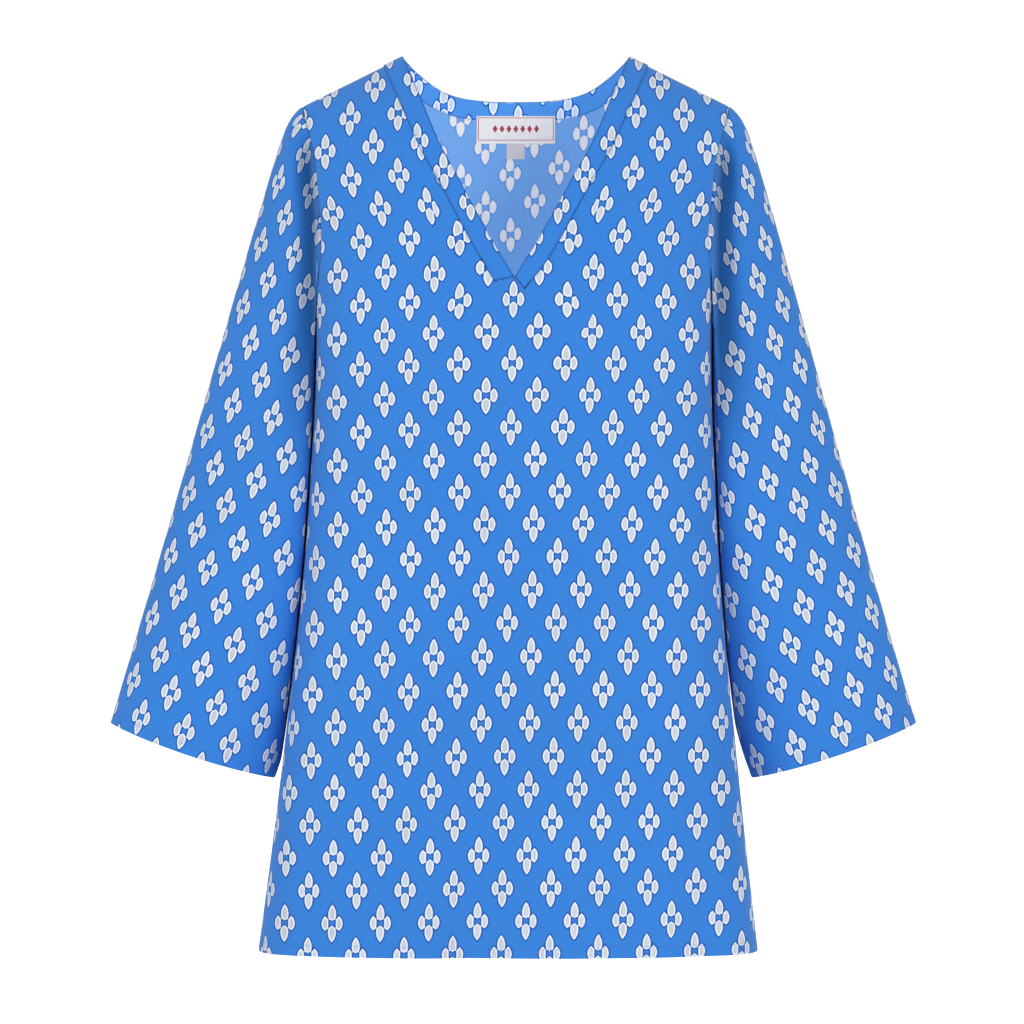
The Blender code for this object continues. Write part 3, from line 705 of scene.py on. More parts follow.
@functools.cache
def sleeve_form(side, cuff_x):
    """Outer surface, normals, cloth places and painted shade of a sleeve in its own place: the trough
    pressed in towards the shoulder plane, the seams rolled in and the hem pressed. The painted shade darkens the colour
    along the seams and in the trough."""
    plain, top = sleeve_grid(side, cuff_x)
    dip = trough(plain)
    dip[0] = 0.0
    points = plain.copy()
    points[..., 1] -= np.sign(plain[..., 1]) * TROUGH_DEPTH * dip
    normals = grid_normals(points)
    if normals[-1, top, 0] < 0:
        normals = -normals
    down, up, side_edge = edge_distances(points)
    edge = np.minimum(down, side_edge)
    rolled = seam_rolled(points, normals, edge, SEAM_ROLL * flatter_at_shoulder(plain))
    sunk = HEM_ROLL * bell(up, SEAM_ROLL_WIDTH) + HEM_DENT * bell(up - HEM_STITCH, HEM_DENT_WIDTH)
    form = rolled - normals * sunk[..., None]
    across, rising = sleeve_cloth(plain, top)
    to_side = np.array([side, 1.0, 1.0])
    # Painted shade along the seams and in the trough beside the armhole
    shade = np.maximum(bell(edge, SEAM_LINE), TROUGH_SHADE * dip)
    return form * to_side, normals * to_side, (side * across, rising), shade


def put_mesh(name, points, faces, materials, cloth, face_materials, shade):
    """A mesh object from points in millimetres, with its cloth places as a UV map in metres and,
    as an attribute, how strongly painted shade darkens each point along a seam or in the trough."""
    mesh = bpy.data.meshes.new(name)
    mesh.from_pydata((points * MM).tolist(), [], faces.tolist())
    uv = mesh.uv_layers.new(name="cloth")
    corners = np.empty(len(mesh.loops), dtype=np.int64)
    mesh.loops.foreach_get("vertex_index", corners)
    uv.data.foreach_set("uv", (cloth[corners] * MM).astype(np.float32).ravel())
    mesh.attributes.new("painted_shade_mask", "FLOAT", "POINT").data.foreach_set("value", shade.astype(np.float32))
    for material in materials:
        mesh.materials.append(material)
    mesh.polygons.foreach_set("material_index", face_materials)
    mesh.shade_smooth()
    mesh.set_sharp_from_angle(angle=SHARP_ANGLE)
    piece = bpy.data.objects.new(name, mesh)
    bpy.context.scene.collection.objects.link(piece)
    return piece


def cloth_shell(
    name, points, normals, cloth, outer, inner, materials, shade=None, inner_cloth=None, tuck=0.0
):
    """A closed shell from a grid: an outer skin moved out along the normals, an inner skin
    moved in and tucked on at its seams, and rims between them. The inner skin takes the second
    material, and may have cloth places of its own. The painted shade of seams and the trough is set on the outer skin
    alone."""
    rows, columns = points.shape[:2]
    count = rows * columns
    skins = np.concatenate([points + outer * normals, points + inner * normals + tuck]).reshape(-1, 3)
    index = np.arange(count).reshape(rows, columns)
    a, b, c, d = index[:-1, :-1], index[:-1, 1:], index[1:, 1:], index[1:, :-1]
    quads = np.stack([a, b, c, d], axis=-1).reshape(-1, 4)
    middle = quads[len(quads) // 2 + columns // 3]
    corner = skins[middle]
    facing = np.cross(corner[1] - corner[0], corner[3] - corner[0]) @ normals.reshape(-1, 3)[middle[0]]
    if facing < 0:
        quads = quads[:, ::-1]
    faces = [quads, quads[:, ::-1] + count]
    for line, way in ((index[0], 1), (index[-1], -1), (index[:, 0], -1), (index[:, -1], 1)):
        p, q = line[:-1], line[1:]
        rim = np.stack([q, p, p + count, q + count], axis=-1)
        faces.append(rim[:, :: way if facing > 0 else -way])
    kinds = np.zeros(sum(len(part) for part in faces), dtype=np.int32)
    kinds[len(quads) : 2 * len(quads)] = len(materials) - 1
    places = np.concatenate([np.stack(skin, axis=-1).reshape(-1, 2) for skin in (cloth, inner_cloth or cloth)])
    painted_shade_per_point = np.zeros(2 * count)
    if shade is not None:
        painted_shade_per_point[:count] = shade.ravel()
    return put_mesh(name, skins, np.concatenate(faces), materials, places, kinds, painted_shade_per_point)


def seam_tuck(normals, edge, way):
    """Offsets that carry the inner skin on under the neighbour along a seam: each point of the
    marked edge goes on the given way and a little deeper."""
    return edge[..., None] * (TUCK_REACH * np.array(way) - TUCK_DEPTH * normals)


def panel_tuck(points, normals):
    """The front runs on under the back along the side seams and the shoulder seams."""
    edge = np.zeros(points.shape[:2])
    edge[: len(lower_rows()), [0, -1]] = 1.0
    edge[-1] = np.abs(points[-1, :, 0]) > NECK_X
    return seam_tuck(normals, edge, (0.0, 1.0, 0.0))


def sleeve_tuck(side, normals):
    """A sleeve runs on under the body along the armhole, and its front under its back."""
    ring = np.zeros(normals.shape[:2])
    ring[0] = 1.0
    underarm = np.zeros(normals.shape[:2])
    underarm[1:, 0] = 1.0
    return seam_tuck(normals, ring, (-side, 0.0, 0.0)) + seam_tuck(normals, underarm, (0.0, 1.0, 0.0))


def as_piece(piece, slot, *nodes):
    """Ride a finished piece on the garment's one body and hide the nodes it replaces. Its slot is not used."""
    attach(piece, "root")
    if nodes:
        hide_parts(*nodes)
    return piece


def front_band(side, end_angle, end_width):
    """Strip of the front's surface along one side of the V, from the V point to the shoulder
    seam. Each row leaves the neck edge at an angle that turns to the band's end."""
    x = NECK_X * (1 - (1 - np.linspace(0, 1, BAND_STEPS + 1)) ** BAND_CROWDING)
    neck_x = column(NECK_EDGE, NECK_COLUMNS, "x")
    z = smooth(neck_x, column(NECK_EDGE, NECK_COLUMNS, "front_z"), x)
    end = 1 - ease(np.hypot(x, z - V_POINT_Z), 0.0, BAND_END_LENGTH)
    angle = math.atan(SHOULDER_SLOPE) + end * (end_angle - math.atan(SHOULDER_SLOPE))
    top = ease(z, BAND_TAPER_Z, 0.0)
    width = BAND_WIDTH + top * (BAND_TOP_WIDTH - BAND_WIDTH) + end * (end_width - BAND_WIDTH)
    across = np.array(BAND_SHARES) * width[:, None]
    line_x = x[:, None] + across * np.cos(angle)[:, None]
    line_z = z[:, None] - across * np.sin(angle)[:, None]
    line_z = np.minimum(line_z, shoulder_height(line_x))
    points = panel_surface("front", side * line_x, line_z)
    points[..., 0] += side * SEAM_GAP / 2
    return points


def back_band():
    """Strip of the back's surface below the back neck edge, from shoulder seam to shoulder seam."""
    x = NECK_X * np.sin(np.linspace(-math.pi / 2, math.pi / 2, 2 * BAND_STEPS + 1))
    neck_x = column(NECK_EDGE, NECK_COLUMNS, "x")
    edge_z = smooth(neck_x, column(NECK_EDGE, NECK_COLUMNS, "back_z"), np.abs(x))
    lean = math.pi / 2 - (math.pi / 2 - math.atan(SHOULDER_SLOPE)) * ease(np.abs(x), BACK_BAND_TURN_X, NECK_X)
    across = BACK_BAND_WIDTH * np.array(BAND_SHARES)
    line_x = x[:, None] + np.sign(x)[:, None] * across * np.cos(lean)[:, None]
    line_z = np.minimum(edge_z[:, None] - across * np.sin(lean)[:, None], shoulder_height(np.abs(line_x)))
    return panel_surface("back", line_x, line_z)


def back_patch(half_width, top_z, bottom_z, steps_across, steps_down):
    """Rectangle of the back's surface, centred on the centre back."""
    x, z = np.meshgrid(
        np.linspace(-half_width, half_width, steps_across + 1),
        np.linspace(top_z, bottom_z, steps_down + 1),
    )
    return panel_surface("back", x, z)


def outward(face, points):
    normals = grid_normals(points)
    middle = normals[normals.shape[0] // 2, normals.shape[1] // 2]
    return normals if face_value(face, "side") * middle[1] > 0 else -normals


def print_place(piece, across, up):
    """Cloth places counted from a motif's centre: turned, then leant and stretched, all from
    the piece's row of the print table."""
    _, a, b, turn, lean, rise, wide, tall = next(row for row in PRINT_PLACES if row[0] == piece)
    turn = math.radians(turn)
    u, v = across - a, up - b
    u, v = u * math.cos(turn) + v * math.sin(turn), v * math.cos(turn) - u * math.sin(turn)
    return (u - lean * v) * wide, (v - rise * u) * tall


def front_print_place(across, up):
    """The front's print as it lies on the worn-in cloth: columns spread a little towards the
    neck and stand off the middle there, and rows bow down at the sides."""
    apart = PRINT_APART * ease(up, *PRINT_SPREAD_Z) + PRINT_NECK_APART * ease(up, *PRINT_NECK_Z)
    apart = apart * np.sign(across) * ease(np.abs(across), *PRINT_APART_X)
    spread = 1 + PRINT_SPREAD * (up - PRINT_SPREAD_MIDDLE)
    bow = PRINT_BOW * across**2 * (up - PRINT_BOW_LEVEL)
    rise = PRINT_BUMP * bell(up - PRINT_BUMP_Z, PRINT_BUMP_WIDTH)
    return print_place("front", (across - apart) / spread, up - rise - bow)


class NodeSums:
    """Puts math nodes into a node tree: each call adds one and returns its output."""

    def __init__(self, tree):
        self.tree = tree

    def __call__(self, operation, *values):
        node = self.tree.nodes.new("ShaderNodeMath")
        node.operation = operation
        for socket, value in zip(node.inputs, values):
            if isinstance(value, bpy.types.NodeSocket):
                self.tree.links.new(value, socket)
            else:
                socket.default_value = value
        return node.outputs[0]

    def hypot(self, a, b):
        return self("SQRT", self("ADD", self("MULTIPLY", a, a), self("MULTIPLY", b, b)))

    def below(self, distance, edge, softness):
        """1 where the distance is below the edge, 0 above it, with a soft step."""
        step = self("DIVIDE", self("SUBTRACT", edge, distance), softness)
        total = self("ADD", step, 0.5)
        total.node.use_clamp = True
        return total

    def mix(self, share, first, second):
        """Colour between two, by a share."""
        node = self.tree.nodes.new("ShaderNodeMix")
        node.data_type = "RGBA"
        for name, value in (("Factor_Float", share), ("A_Color", first), ("B_Color", second)):
            socket = next(entry for entry in node.inputs if entry.identifier == name)
            if isinstance(value, bpy.types.NodeSocket):
                self.tree.links.new(value, socket)
            else:
                socket.default_value = value
        return next(entry for entry in node.outputs if entry.identifier == "Result_Color")


def new_group(name, inputs, outputs):
    """Empty shader group with named sockets; returns its tree, inputs and outputs by name."""
    tree = bpy.data.node_groups.new(name, "ShaderNodeTree")
    for socket_name, kind in inputs:
        tree.interface.new_socket(name=socket_name, in_out="INPUT", socket_type=f"NodeSocket{kind}")
    for socket_name, kind in outputs:
        tree.interface.new_socket(name=socket_name, in_out="OUTPUT", socket_type=f"NodeSocket{kind}")
    entry = tree.nodes.new("NodeGroupInput")
    leave = tree.nodes.new("NodeGroupOutput")
    return tree, entry.outputs, leave.inputs


def place_in_millimetres(tree, sums, vector):
    """Across and up of a cloth place, in millimetres."""
    parts = tree.nodes.new("ShaderNodeSeparateXYZ")
    tree.links.new(vector, parts.inputs[0])
    return sums("DIVIDE", parts.outputs[0], MM), sums("DIVIDE", parts.outputs[1], MM)


@functools.cache
def petal_print():
    """Group that prints four-petal motifs in columns, every other column half a row lower.

    Each petal is a place where a signed distance is below 0. The upper and lower petals are
    the overlap of two circles, cut towards the middle by a V and a level line; the side
    petals are a circle cut by an upright line and two slanting ones. The colour runs from
    the cloth over a dark outline and a white rim to the petal's own colour.
    """
    inputs = (
        ("Place", "Vector"), ("Cloth", "Color"), ("Outline", "Color"), ("Rim", "Color"), ("Petal", "Color"),
        ("Column pitch", "Float"), ("Row pitch", "Float"), ("Edge", "Float"),
    )
    tree, given, put = new_group("petal print", inputs, (("Color", "Color"), ("Petals", "Float")))
    s = NodeSums(tree)
    u, v = place_in_millimetres(tree, s, given["Place"])
    column_number = s("ROUND", s("DIVIDE", u, given["Column pitch"]))
    lowered = s("DIVIDE", s("PINGPONG", column_number, 1.0), 2.0)
    row_number = s("ROUND", s("SUBTRACT", s("DIVIDE", v, given["Row pitch"]), lowered))
    p = s("ABSOLUTE", s("SUBTRACT", u, s("MULTIPLY", column_number, given["Column pitch"])))
    q = s("SUBTRACT", v, s("MULTIPLY", s("ADD", row_number, lowered), given["Row pitch"]))
    distances = []
    for sign, petal in ((1.0, UPPER_PETAL), (-1.0, LOWER_PETAL)):
        rise = s("MULTIPLY", q, sign)
        from_centre = s.hypot(s("ADD", p, petal["radius"] - petal["half_width"]), s("SUBTRACT", rise, petal["middle"]))
        point = s("ADD", petal["start"], s("MULTIPLY", p, petal["slope"]))
        foot = s("SUBTRACT", s("MINIMUM", point, petal["base"]), rise)
        distances.append(s("MAXIMUM", s("SUBTRACT", from_centre, petal["radius"]), foot))
    inwards = s("SUBTRACT", SIDE_PETAL["start"], p)
    side = s("SUBTRACT", s.hypot(s("SUBTRACT", p, SIDE_PETAL["centre"]), q), SIDE_PETAL["radius"])
    side = s("MAXIMUM", side, inwards)
    for sign, height, slant in SIDE_SLANTS:
        above = s("SUBTRACT", s("MULTIPLY", q, sign), height)
        cut = s("ADD", s("MULTIPLY", above, math.cos(slant)), s("MULTIPLY", inwards, math.sin(slant)))
        side = s("MAXIMUM", side, cut)
    distances.append(side)
    nearest = s("MINIMUM", s("MINIMUM", distances[0], distances[1]), distances[2])

    number = tree.nodes.new("ShaderNodeCombineXYZ")
    tree.links.new(column_number, number.inputs[0])
    tree.links.new(row_number, number.inputs[1])
    chance = tree.nodes.new("ShaderNodeTexWhiteNoise")
    tree.links.new(number.outputs[0], chance.inputs["Vector"])
    tint = s.mix(s("MULTIPLY", chance.outputs["Value"], PETAL_TINT), given["Petal"], given["Rim"])

    outline = s.below(nearest, given["Edge"], PRINT_SOFTNESS)
    rim = s.below(nearest, 0.0, PRINT_SOFTNESS)
    inner = s.below(nearest, s("MULTIPLY", given["Edge"], -1.0), PRINT_SOFTNESS)
    colour = s.mix(outline, given["Cloth"], given["Outline"])
    colour = s.mix(rim, colour, given["Rim"])
    colour = s.mix(inner, colour, tint)
    tree.links.new(colour, put["Color"])
    tree.links.new(rim, put["Petals"])
    return tree


@functools.cache
def weave():
    """Group for a plain weave: threads along both directions as a product of two sine waves,
    broken up by uneven threads, which are noise stretched along each direction."""
    inputs = (("Place", "Vector"), ("Thread", "Float"), ("Unevenness", "Float"))
    tree, given, put = new_group("weave", inputs, (("Height", "Float"), ("Fleck", "Float")))
    s = NodeSums(tree)
    u, v = place_in_millimetres(tree, s, given["Place"])
    warp = s("SINE", s("DIVIDE", s("MULTIPLY", u, math.pi), given["Thread"]))
    weft = s("SINE", s("DIVIDE", s("MULTIPLY", v, math.pi), given["Thread"]))
    threads = []
    for across, along in ((u, v), (v, u)):
        spot = tree.nodes.new("ShaderNodeCombineXYZ")
        tree.links.new(s("DIVIDE", across, given["Thread"]), spot.inputs[0])
        tree.links.new(s("MULTIPLY", along, THREAD_STRETCH), spot.inputs[1])
        noise = tree.nodes.new("ShaderNodeTexNoise")
        noise.inputs["Scale"].default_value = 1.0
        noise.inputs["Detail"].default_value = 2.0
        tree.links.new(spot.outputs[0], noise.inputs["Vector"])
        threads.append(noise.outputs[0])
    fleck = s("SUBTRACT", s("ADD", threads[0], threads[1]), 1.0)
    height = s("ADD", s("MULTIPLY", s("MULTIPLY", warp, weft), 0.5), s("MULTIPLY", fleck, given["Unevenness"]))
    tree.links.new(height, put["Height"])
    tree.links.new(fleck, put["Fleck"])
    return tree


def new_material(name):
    """Material with its shader; returns its tree, a maker of sums and the shader."""
    material = bpy.data.materials.new(name)
    material.use_nodes = True
    tree = material.node_tree
    return material, tree, NodeSums(tree), tree.nodes["Principled BSDF"]


def add_group(tree, group, **values):
    """Group node with its inputs linked or set."""
    node = tree.nodes.new("ShaderNodeGroup")
    node.node_tree = group
    for name, value in values.items():
        socket = node.inputs[name.replace("_", " ")]
        if isinstance(value, bpy.types.NodeSocket):
            tree.links.new(value, socket)
        else:
            socket.default_value = value
    return node.outputs


def add_bump(tree, heights):
    """Bump nodes one after another, each a height with its depth in millimetres."""
    normal = None
    for height, depth in heights:
        bump = tree.nodes.new("ShaderNodeBump")
        bump.inputs["Distance"].default_value = depth * MM
        tree.links.new(height, bump.inputs["Height"])
        if normal is not None:
            tree.links.new(normal, bump.inputs["Normal"])
        normal = bump.outputs[0]
    return normal


def cloth_uv(tree):
    node = tree.nodes.new("ShaderNodeUVMap")
    node.uv_map = "cloth"
    return node.outputs[0]


def solid_noise(tree, scale, detail=2.0):
    """Noise over the object's own space."""
    place = tree.nodes.new("ShaderNodeTexCoord")
    noise = tree.nodes.new("ShaderNodeTexNoise")
    noise.inputs["Scale"].default_value = scale
    noise.inputs["Detail"].default_value = detail
    tree.links.new(place.outputs["Object"], noise.inputs["Vector"])
    return noise.outputs[0]


def printed_material(name, settings, cloth, outline, rim, petal, roughness, glow=0.0):
    """Woven cloth with the petal print, a slow change of depth of colour, painted shade along seams and in the trough,
    and a soft sheen. The
    glow is painted light: an emission of the cloth's own colour that brightens the inside of the garment, standing in
    for light that comes through the thin cloth."""
    material, tree, s, shader = new_material(name)
    place = cloth_uv(tree)
    printed = add_group(
        tree, petal_print(), Place=place, Cloth=cloth, Outline=outline, Rim=rim, Petal=petal,
        Column_pitch=settings.column_pitch / MM, Row_pitch=settings.row_pitch / MM, Edge=PRINT_EDGE,
    )
    woven = add_group(tree, weave(), Place=place, Thread=THREAD, Unevenness=THREAD_UNEVENNESS)
    shade = s("MULTIPLY", s("SUBTRACT", solid_noise(tree, 6.0), 0.5), COLOUR_DRIFT)
    shade = s("ADD", s("ADD", shade, s("MULTIPLY", woven["Fleck"], FLECK)), 1.0)
    # Painted shade: the printed colour is multiplied towards a dark blue along seams and in the trough
    painted_shade_mask = tree.nodes.new("ShaderNodeAttribute")
    painted_shade_mask.attribute_name = "painted_shade_mask"
    painted_shade_colour = tree.nodes.new("ShaderNodeVectorMath")
    painted_shade_colour.operation = "MULTIPLY"
    tree.links.new(printed["Color"], painted_shade_colour.inputs[0])
    tint = s.mix(printed["Petals"], rgba(CREASE_PAINTED_SHADE_TINT), rgba(CREASE_PETAL_PAINTED_SHADE_TINT))
    tree.links.new(s.mix(painted_shade_mask.outputs["Fac"], rgba((1.0, 1.0, 1.0)), tint), painted_shade_colour.inputs[1])
    colour_with_painted_shade = tree.nodes.new("ShaderNodeVectorMath")
    colour_with_painted_shade.operation = "SCALE"
    tree.links.new(painted_shade_colour.outputs[0], colour_with_painted_shade.inputs[0])
    tree.links.new(shade, colour_with_painted_shade.inputs["Scale"])
    tree.links.new(colour_with_painted_shade.outputs[0], shader.inputs["Base Color"])
    # Painted light: the cloth glows in its own colour
    if glow:
        tree.links.new(colour_with_painted_shade.outputs[0], shader.inputs["Emission Color"])
        shader.inputs["Emission Strength"].default_value = glow
    rough = s("SUBTRACT", roughness, s("MULTIPLY", printed["Petals"], PETAL_GLOSS))
    tree.links.new(rough, shader.inputs["Roughness"])
    heights = ((solid_noise(tree, 26.0, 3.0), SLUB_DEPTH), (woven["Height"], WEAVE_DEPTH))
    tree.links.new(add_bump(tree, heights), shader.inputs["Normal"])
    shader.inputs["Sheen Weight"].default_value = CLOTH_SHEEN
    shader.inputs["Sheen Roughness"].default_value = 0.5
    shader.inputs["Sheen Tint"].default_value = rgba(SHEEN_TINT)
    shader.inputs["Specular IOR Level"].default_value = CLOTH_SPECULAR
    return material


@functools.cache
def right_side():
    settings = bpy.context.scene.tunic
    return printed_material(
        "printed_cloth", settings, rgba(settings.cloth_colour), rgba(settings.outline_colour),
        rgba(settings.rim_colour), rgba(settings.petal_colour), 0.74,
    )


@functools.cache
def inside_band_painted_light():
    """The printed side where it faces the inside of the neck: a brighter, glowing copy of the cloth, as painted light.
    """
    settings = bpy.context.scene.tunic
    return printed_material(
        "printed_cloth_inside_painted_light", settings, rgba(settings.inside_band_painted_light_colour), rgba(settings.outline_colour),
        rgba(settings.rim_colour), rgba(settings.petal_colour), 0.74, INSIDE_PAINTED_GLOW,
    )


@functools.cache
def wrong_side():
    settings = bpy.context.scene.tunic
    # The wrong side glows in its own colour: painted light
    return printed_material(
        "cloth_wrong_side", settings, rgba(settings.wrong_side_colour), rgba(settings.wrong_outline_colour),
        rgba(settings.wrong_petal_colour), rgba(settings.wrong_petal_colour), 0.82, INSIDE_PAINTED_GLOW,
    )


def rgba(colour):
    return (*colour, 1.0)


def linear(red, green, blue):
    """Linear colour of a screen colour given as 0 to 255."""
    share = np.array([red, green, blue]) / 255
    return tuple(float(value) for value in np.where(share < 0.04045, share / 12.92, ((share + 0.055) / 1.055) ** 2.4))


def thread_material(name, colour):
    """Twisted sewing thread: slanting ridges along the stitch and a soft sheen."""
    material, tree, s, shader = new_material(name)
    shader.inputs["Base Color"].default_value = rgba(colour)
    shader.inputs["Roughness"].default_value = 0.55
    shader.inputs["Sheen Weight"].default_value = 0.2
    tree.links.new(add_bump(tree, ((solid_noise(tree, 4000.0, 1.0), 0.05),)), shader.inputs["Normal"])
    return material


def label_material(name, colour, border):
    """Satin ribbon: fine lengthwise ribs, a woven border line set in from the edges and a row
    of small woven lozenges. It glows in its own colour as painted light."""
    settings = bpy.context.scene.tunic
    material, tree, s, shader = new_material(name)
    place = cloth_uv(tree)
    u, v = place_in_millimetres(tree, s, place)
    woven = add_group(tree, weave(), Place=place, Thread=LABEL_THREAD, Unevenness=0.2)
    base = rgba(colour)
    if border:
        half_height = (LABEL_TOP_Z - LABEL_BOTTOM_Z) / 2
        from_edge = s("MINIMUM",
                      s("SUBTRACT", LABEL_HALF_WIDTH, s("ABSOLUTE", u)),
                      s("SUBTRACT", half_height, s("ABSOLUTE", v)))
        off_line = s("ABSOLUTE", s("SUBTRACT", from_edge, LABEL_BORDER))
        line = s.below(off_line, LABEL_BORDER_WIDTH, 0.2)
        slot = s("SUBTRACT", u, s("MULTIPLY", s("ROUND", s("DIVIDE", u, LOZENGE_PITCH)), LOZENGE_PITCH))
        lozenge = s("ADD", s("ABSOLUTE", slot), s("MULTIPLY", s("ABSOLUTE", v), LOZENGE_FLATNESS))
        within = s.below(s("ABSOLUTE", u), LOZENGE_REACH, 0.3)
        ornament = s("MULTIPLY", s.below(lozenge, LOZENGE_SIZE, 0.3), within)
        base = s.mix(s("MAXIMUM", line, ornament), base, rgba(settings.label_ink))
        tree.links.new(base, shader.inputs["Base Color"])
        tree.links.new(base, shader.inputs["Emission Color"])
    else:
        shader.inputs["Base Color"].default_value = base
        shader.inputs["Emission Color"].default_value = base
    # Painted light: the label or tab glows in its own colour
    shader.inputs["Emission Strength"].default_value = LABEL_PAINTED_GLOW
    shader.inputs["Roughness"].default_value = 0.38
    shader.inputs["Sheen Weight"].default_value = 0.1
    tree.links.new(add_bump(tree, ((woven["Height"], 0.03),)), shader.inputs["Normal"])
    return material


def stitch_row(path, normals, length, pitch, thickness, lift):
    """Points and faces of a row of stitches along a path: each is a small capsule, two rings
    of four points and two tips, laid along the path and sunk at its ends."""
    run = np.concatenate([[0], np.cumsum(np.linalg.norm(np.diff(path, axis=0), axis=1))])
    count = max(int((run[-1] - pitch) / pitch), 1)
    centre = (np.arange(count) + 0.5) * run[-1] / count
    offsets = np.array(STITCH_SHARES)[None, :] * length / 2
    at = centre[:, None] + offsets
    place = np.stack([np.interp(at, run, path[:, axis]) for axis in range(3)], axis=-1)
    out = np.stack([np.interp(centre, run, normals[:, axis]) for axis in range(3)], axis=-1)[:, None]
    along = place[:, -1:] - place[:, :1]
    along = along / np.linalg.norm(along, axis=-1, keepdims=True)
    across = np.cross(along, out)
    sunk = np.array(STITCH_LIFTS)[None, :, None] * lift
    place = place + out * sunk
    turn = np.linspace(0, 2 * math.pi, 4, endpoint=False)
    ring = np.cos(turn)[:, None] * across[:, :1] + np.sin(turn)[:, None] * out
    rings = place[:, 1:3, None] + thickness / 2 * ring[:, None]
    points = np.concatenate([place[:, :1], rings.reshape(count, -1, 3), place[:, 3:]], axis=1)
    k = np.arange(4)
    following = (k + 1) % 4
    faces = np.concatenate([
        np.stack([0 * k, 1 + following, 1 + k, 1 + k], axis=-1),
        np.stack([1 + k, 1 + following, 5 + following, 5 + k], axis=-1),
        np.stack([0 * k + 9, 5 + k, 5 + following, 5 + following], axis=-1),
    ])
    return points.reshape(-1, 3), (faces[None] + 10 * np.arange(count)[:, None, None]).reshape(-1, 4)


def stitched(name, rows, material):
    """One mesh of several stitch rows."""
    points, faces, start = [], [], 0
    for row_points, row_faces in rows:
        points.append(row_points)
        faces.append(row_faces + start)
        start += len(row_points)
    quads = np.concatenate(faces)
    lists = [list(dict.fromkeys(face)) for face in quads.tolist()]
    mesh = bpy.data.meshes.new(name)
    mesh.from_pydata((np.concatenate(points) * MM).tolist(), [], lists)
    mesh.materials.append(material)
    mesh.shade_smooth()
    piece = bpy.data.objects.new(name, mesh)
    bpy.context.scene.collection.objects.link(piece)
    return piece


def colour_setting(name, description, default):
    return FloatVectorProperty(name=name, description=description, subtype="COLOR", size=3, min=0, max=1, default=default)


def length_setting(name, description, default):
    return FloatProperty(name=name, description=description, subtype="DISTANCE", unit="LENGTH", default=default * MM)


class TunicSettings(bpy.types.PropertyGroup):
    """Sizes and colours of the tunic top."""

    cloth_colour: colour_setting("Cloth", "Ground colour of the printed cloth", linear(48, 127, 216))
    outline_colour: colour_setting("Outline", "Dark line round each petal", linear(18, 80, 168))
    rim_colour: colour_setting("Rim", "White edge of each petal", linear(226, 240, 255))
    petal_colour: colour_setting("Petal", "Inside of each petal", linear(197, 199, 206))
    wrong_side_colour: colour_setting("Wrong side", "Ground colour of the wrong side", linear(111, 158, 207))
    wrong_outline_colour: colour_setting("Wrong side outline", "Petal outlines on the wrong side", linear(93, 141, 195))
    wrong_petal_colour: colour_setting("Wrong side petal", "Petals on the wrong side", linear(224, 217, 210))
    # Ground colour of the band inside the neck, made brighter as painted light
    inside_band_painted_light_colour: colour_setting("Back band", "Ground colour of the lit band inside the neck", linear(73, 140, 207))
    thread_colour: colour_setting("Thread", "Sewing thread of seams and hems", linear(52, 118, 205))
    label_colour: colour_setting("Label", "Satin of the neck label", linear(250, 238, 222))
    label_ink: colour_setting("Label ornament", "Woven border and lozenges", linear(176, 60, 66))
    tab_colour: colour_setting("Tab", "Small tab under the neck label", linear(220, 206, 197))
    column_pitch: length_setting("Column pitch", "Distance between columns of motifs", 21.9)
    row_pitch: length_setting("Row pitch", "Distance between motifs of a column", 59.14)
    stitch_length: length_setting("Stitch", "Length of one stitch", 2.3)
    stitch_pitch: length_setting("Stitch pitch", "Distance from stitch to stitch", 3.0)
    key_power: FloatProperty(name="Key light", description="Power of the large soft light", unit="POWER", default=46.0)
    fill_power: FloatProperty(name="Fill light", description="Power of the weak side light", unit="POWER", default=64.0)
    surround: FloatProperty(name="Surround", description="Brightness of the studio around", default=0.6)


def panel_print(face):
    """Print places of a panel's points."""
    across, up = panel_form(face)[2]
    return front_print_place(across, up) if face == "front" else print_place(face, across, up)


def put_panel(face):
    """The front or the back as one cloth shell."""
    points, normals, places, shade = panel_form(face)
    cloth = panel_print(face)
    inside = print_place("back_inside", *places) if face == "back" else None
    sides = (right_side(), wrong_side())
    tuck = panel_tuck(points, normals) if face == "front" else 0.0
    piece = cloth_shell(f"{face}_cloth", points, normals, cloth, 0.0, CLOTH_INNER, sides, shade, inside, tuck)
    as_piece(piece, "printed_cloth", face)


class TUNIC_OT_body(bpy.types.Operator):
    """Front and back panels."""

    bl_idname = "tunic.body"
    bl_label = "Front and back"

    def execute(self, context):
        for face in FACES:
            put_panel(face)
        return {"FINISHED"}


class TUNIC_OT_sleeves(bpy.types.Operator):
    """Two flared sleeves, each a tube closed by a seam under the arm."""

    bl_idname = "tunic.sleeves"
    bl_label = "Sleeves"

    def execute(self, context):
        for node, side, cuff_x in SLEEVES:
            points, normals, places, shade = sleeve_form(side, cuff_x)
            cloth = print_place(node, *places)
            sides = (right_side(), wrong_side())
            tuck = sleeve_tuck(side, normals)
            piece = cloth_shell(
                f"{node}_cloth", points, normals, cloth, 0.0, CLOTH_INNER, sides, shade, tuck=tuck
            )
            as_piece(piece, "printed_cloth", node)
        return {"FINISHED"}


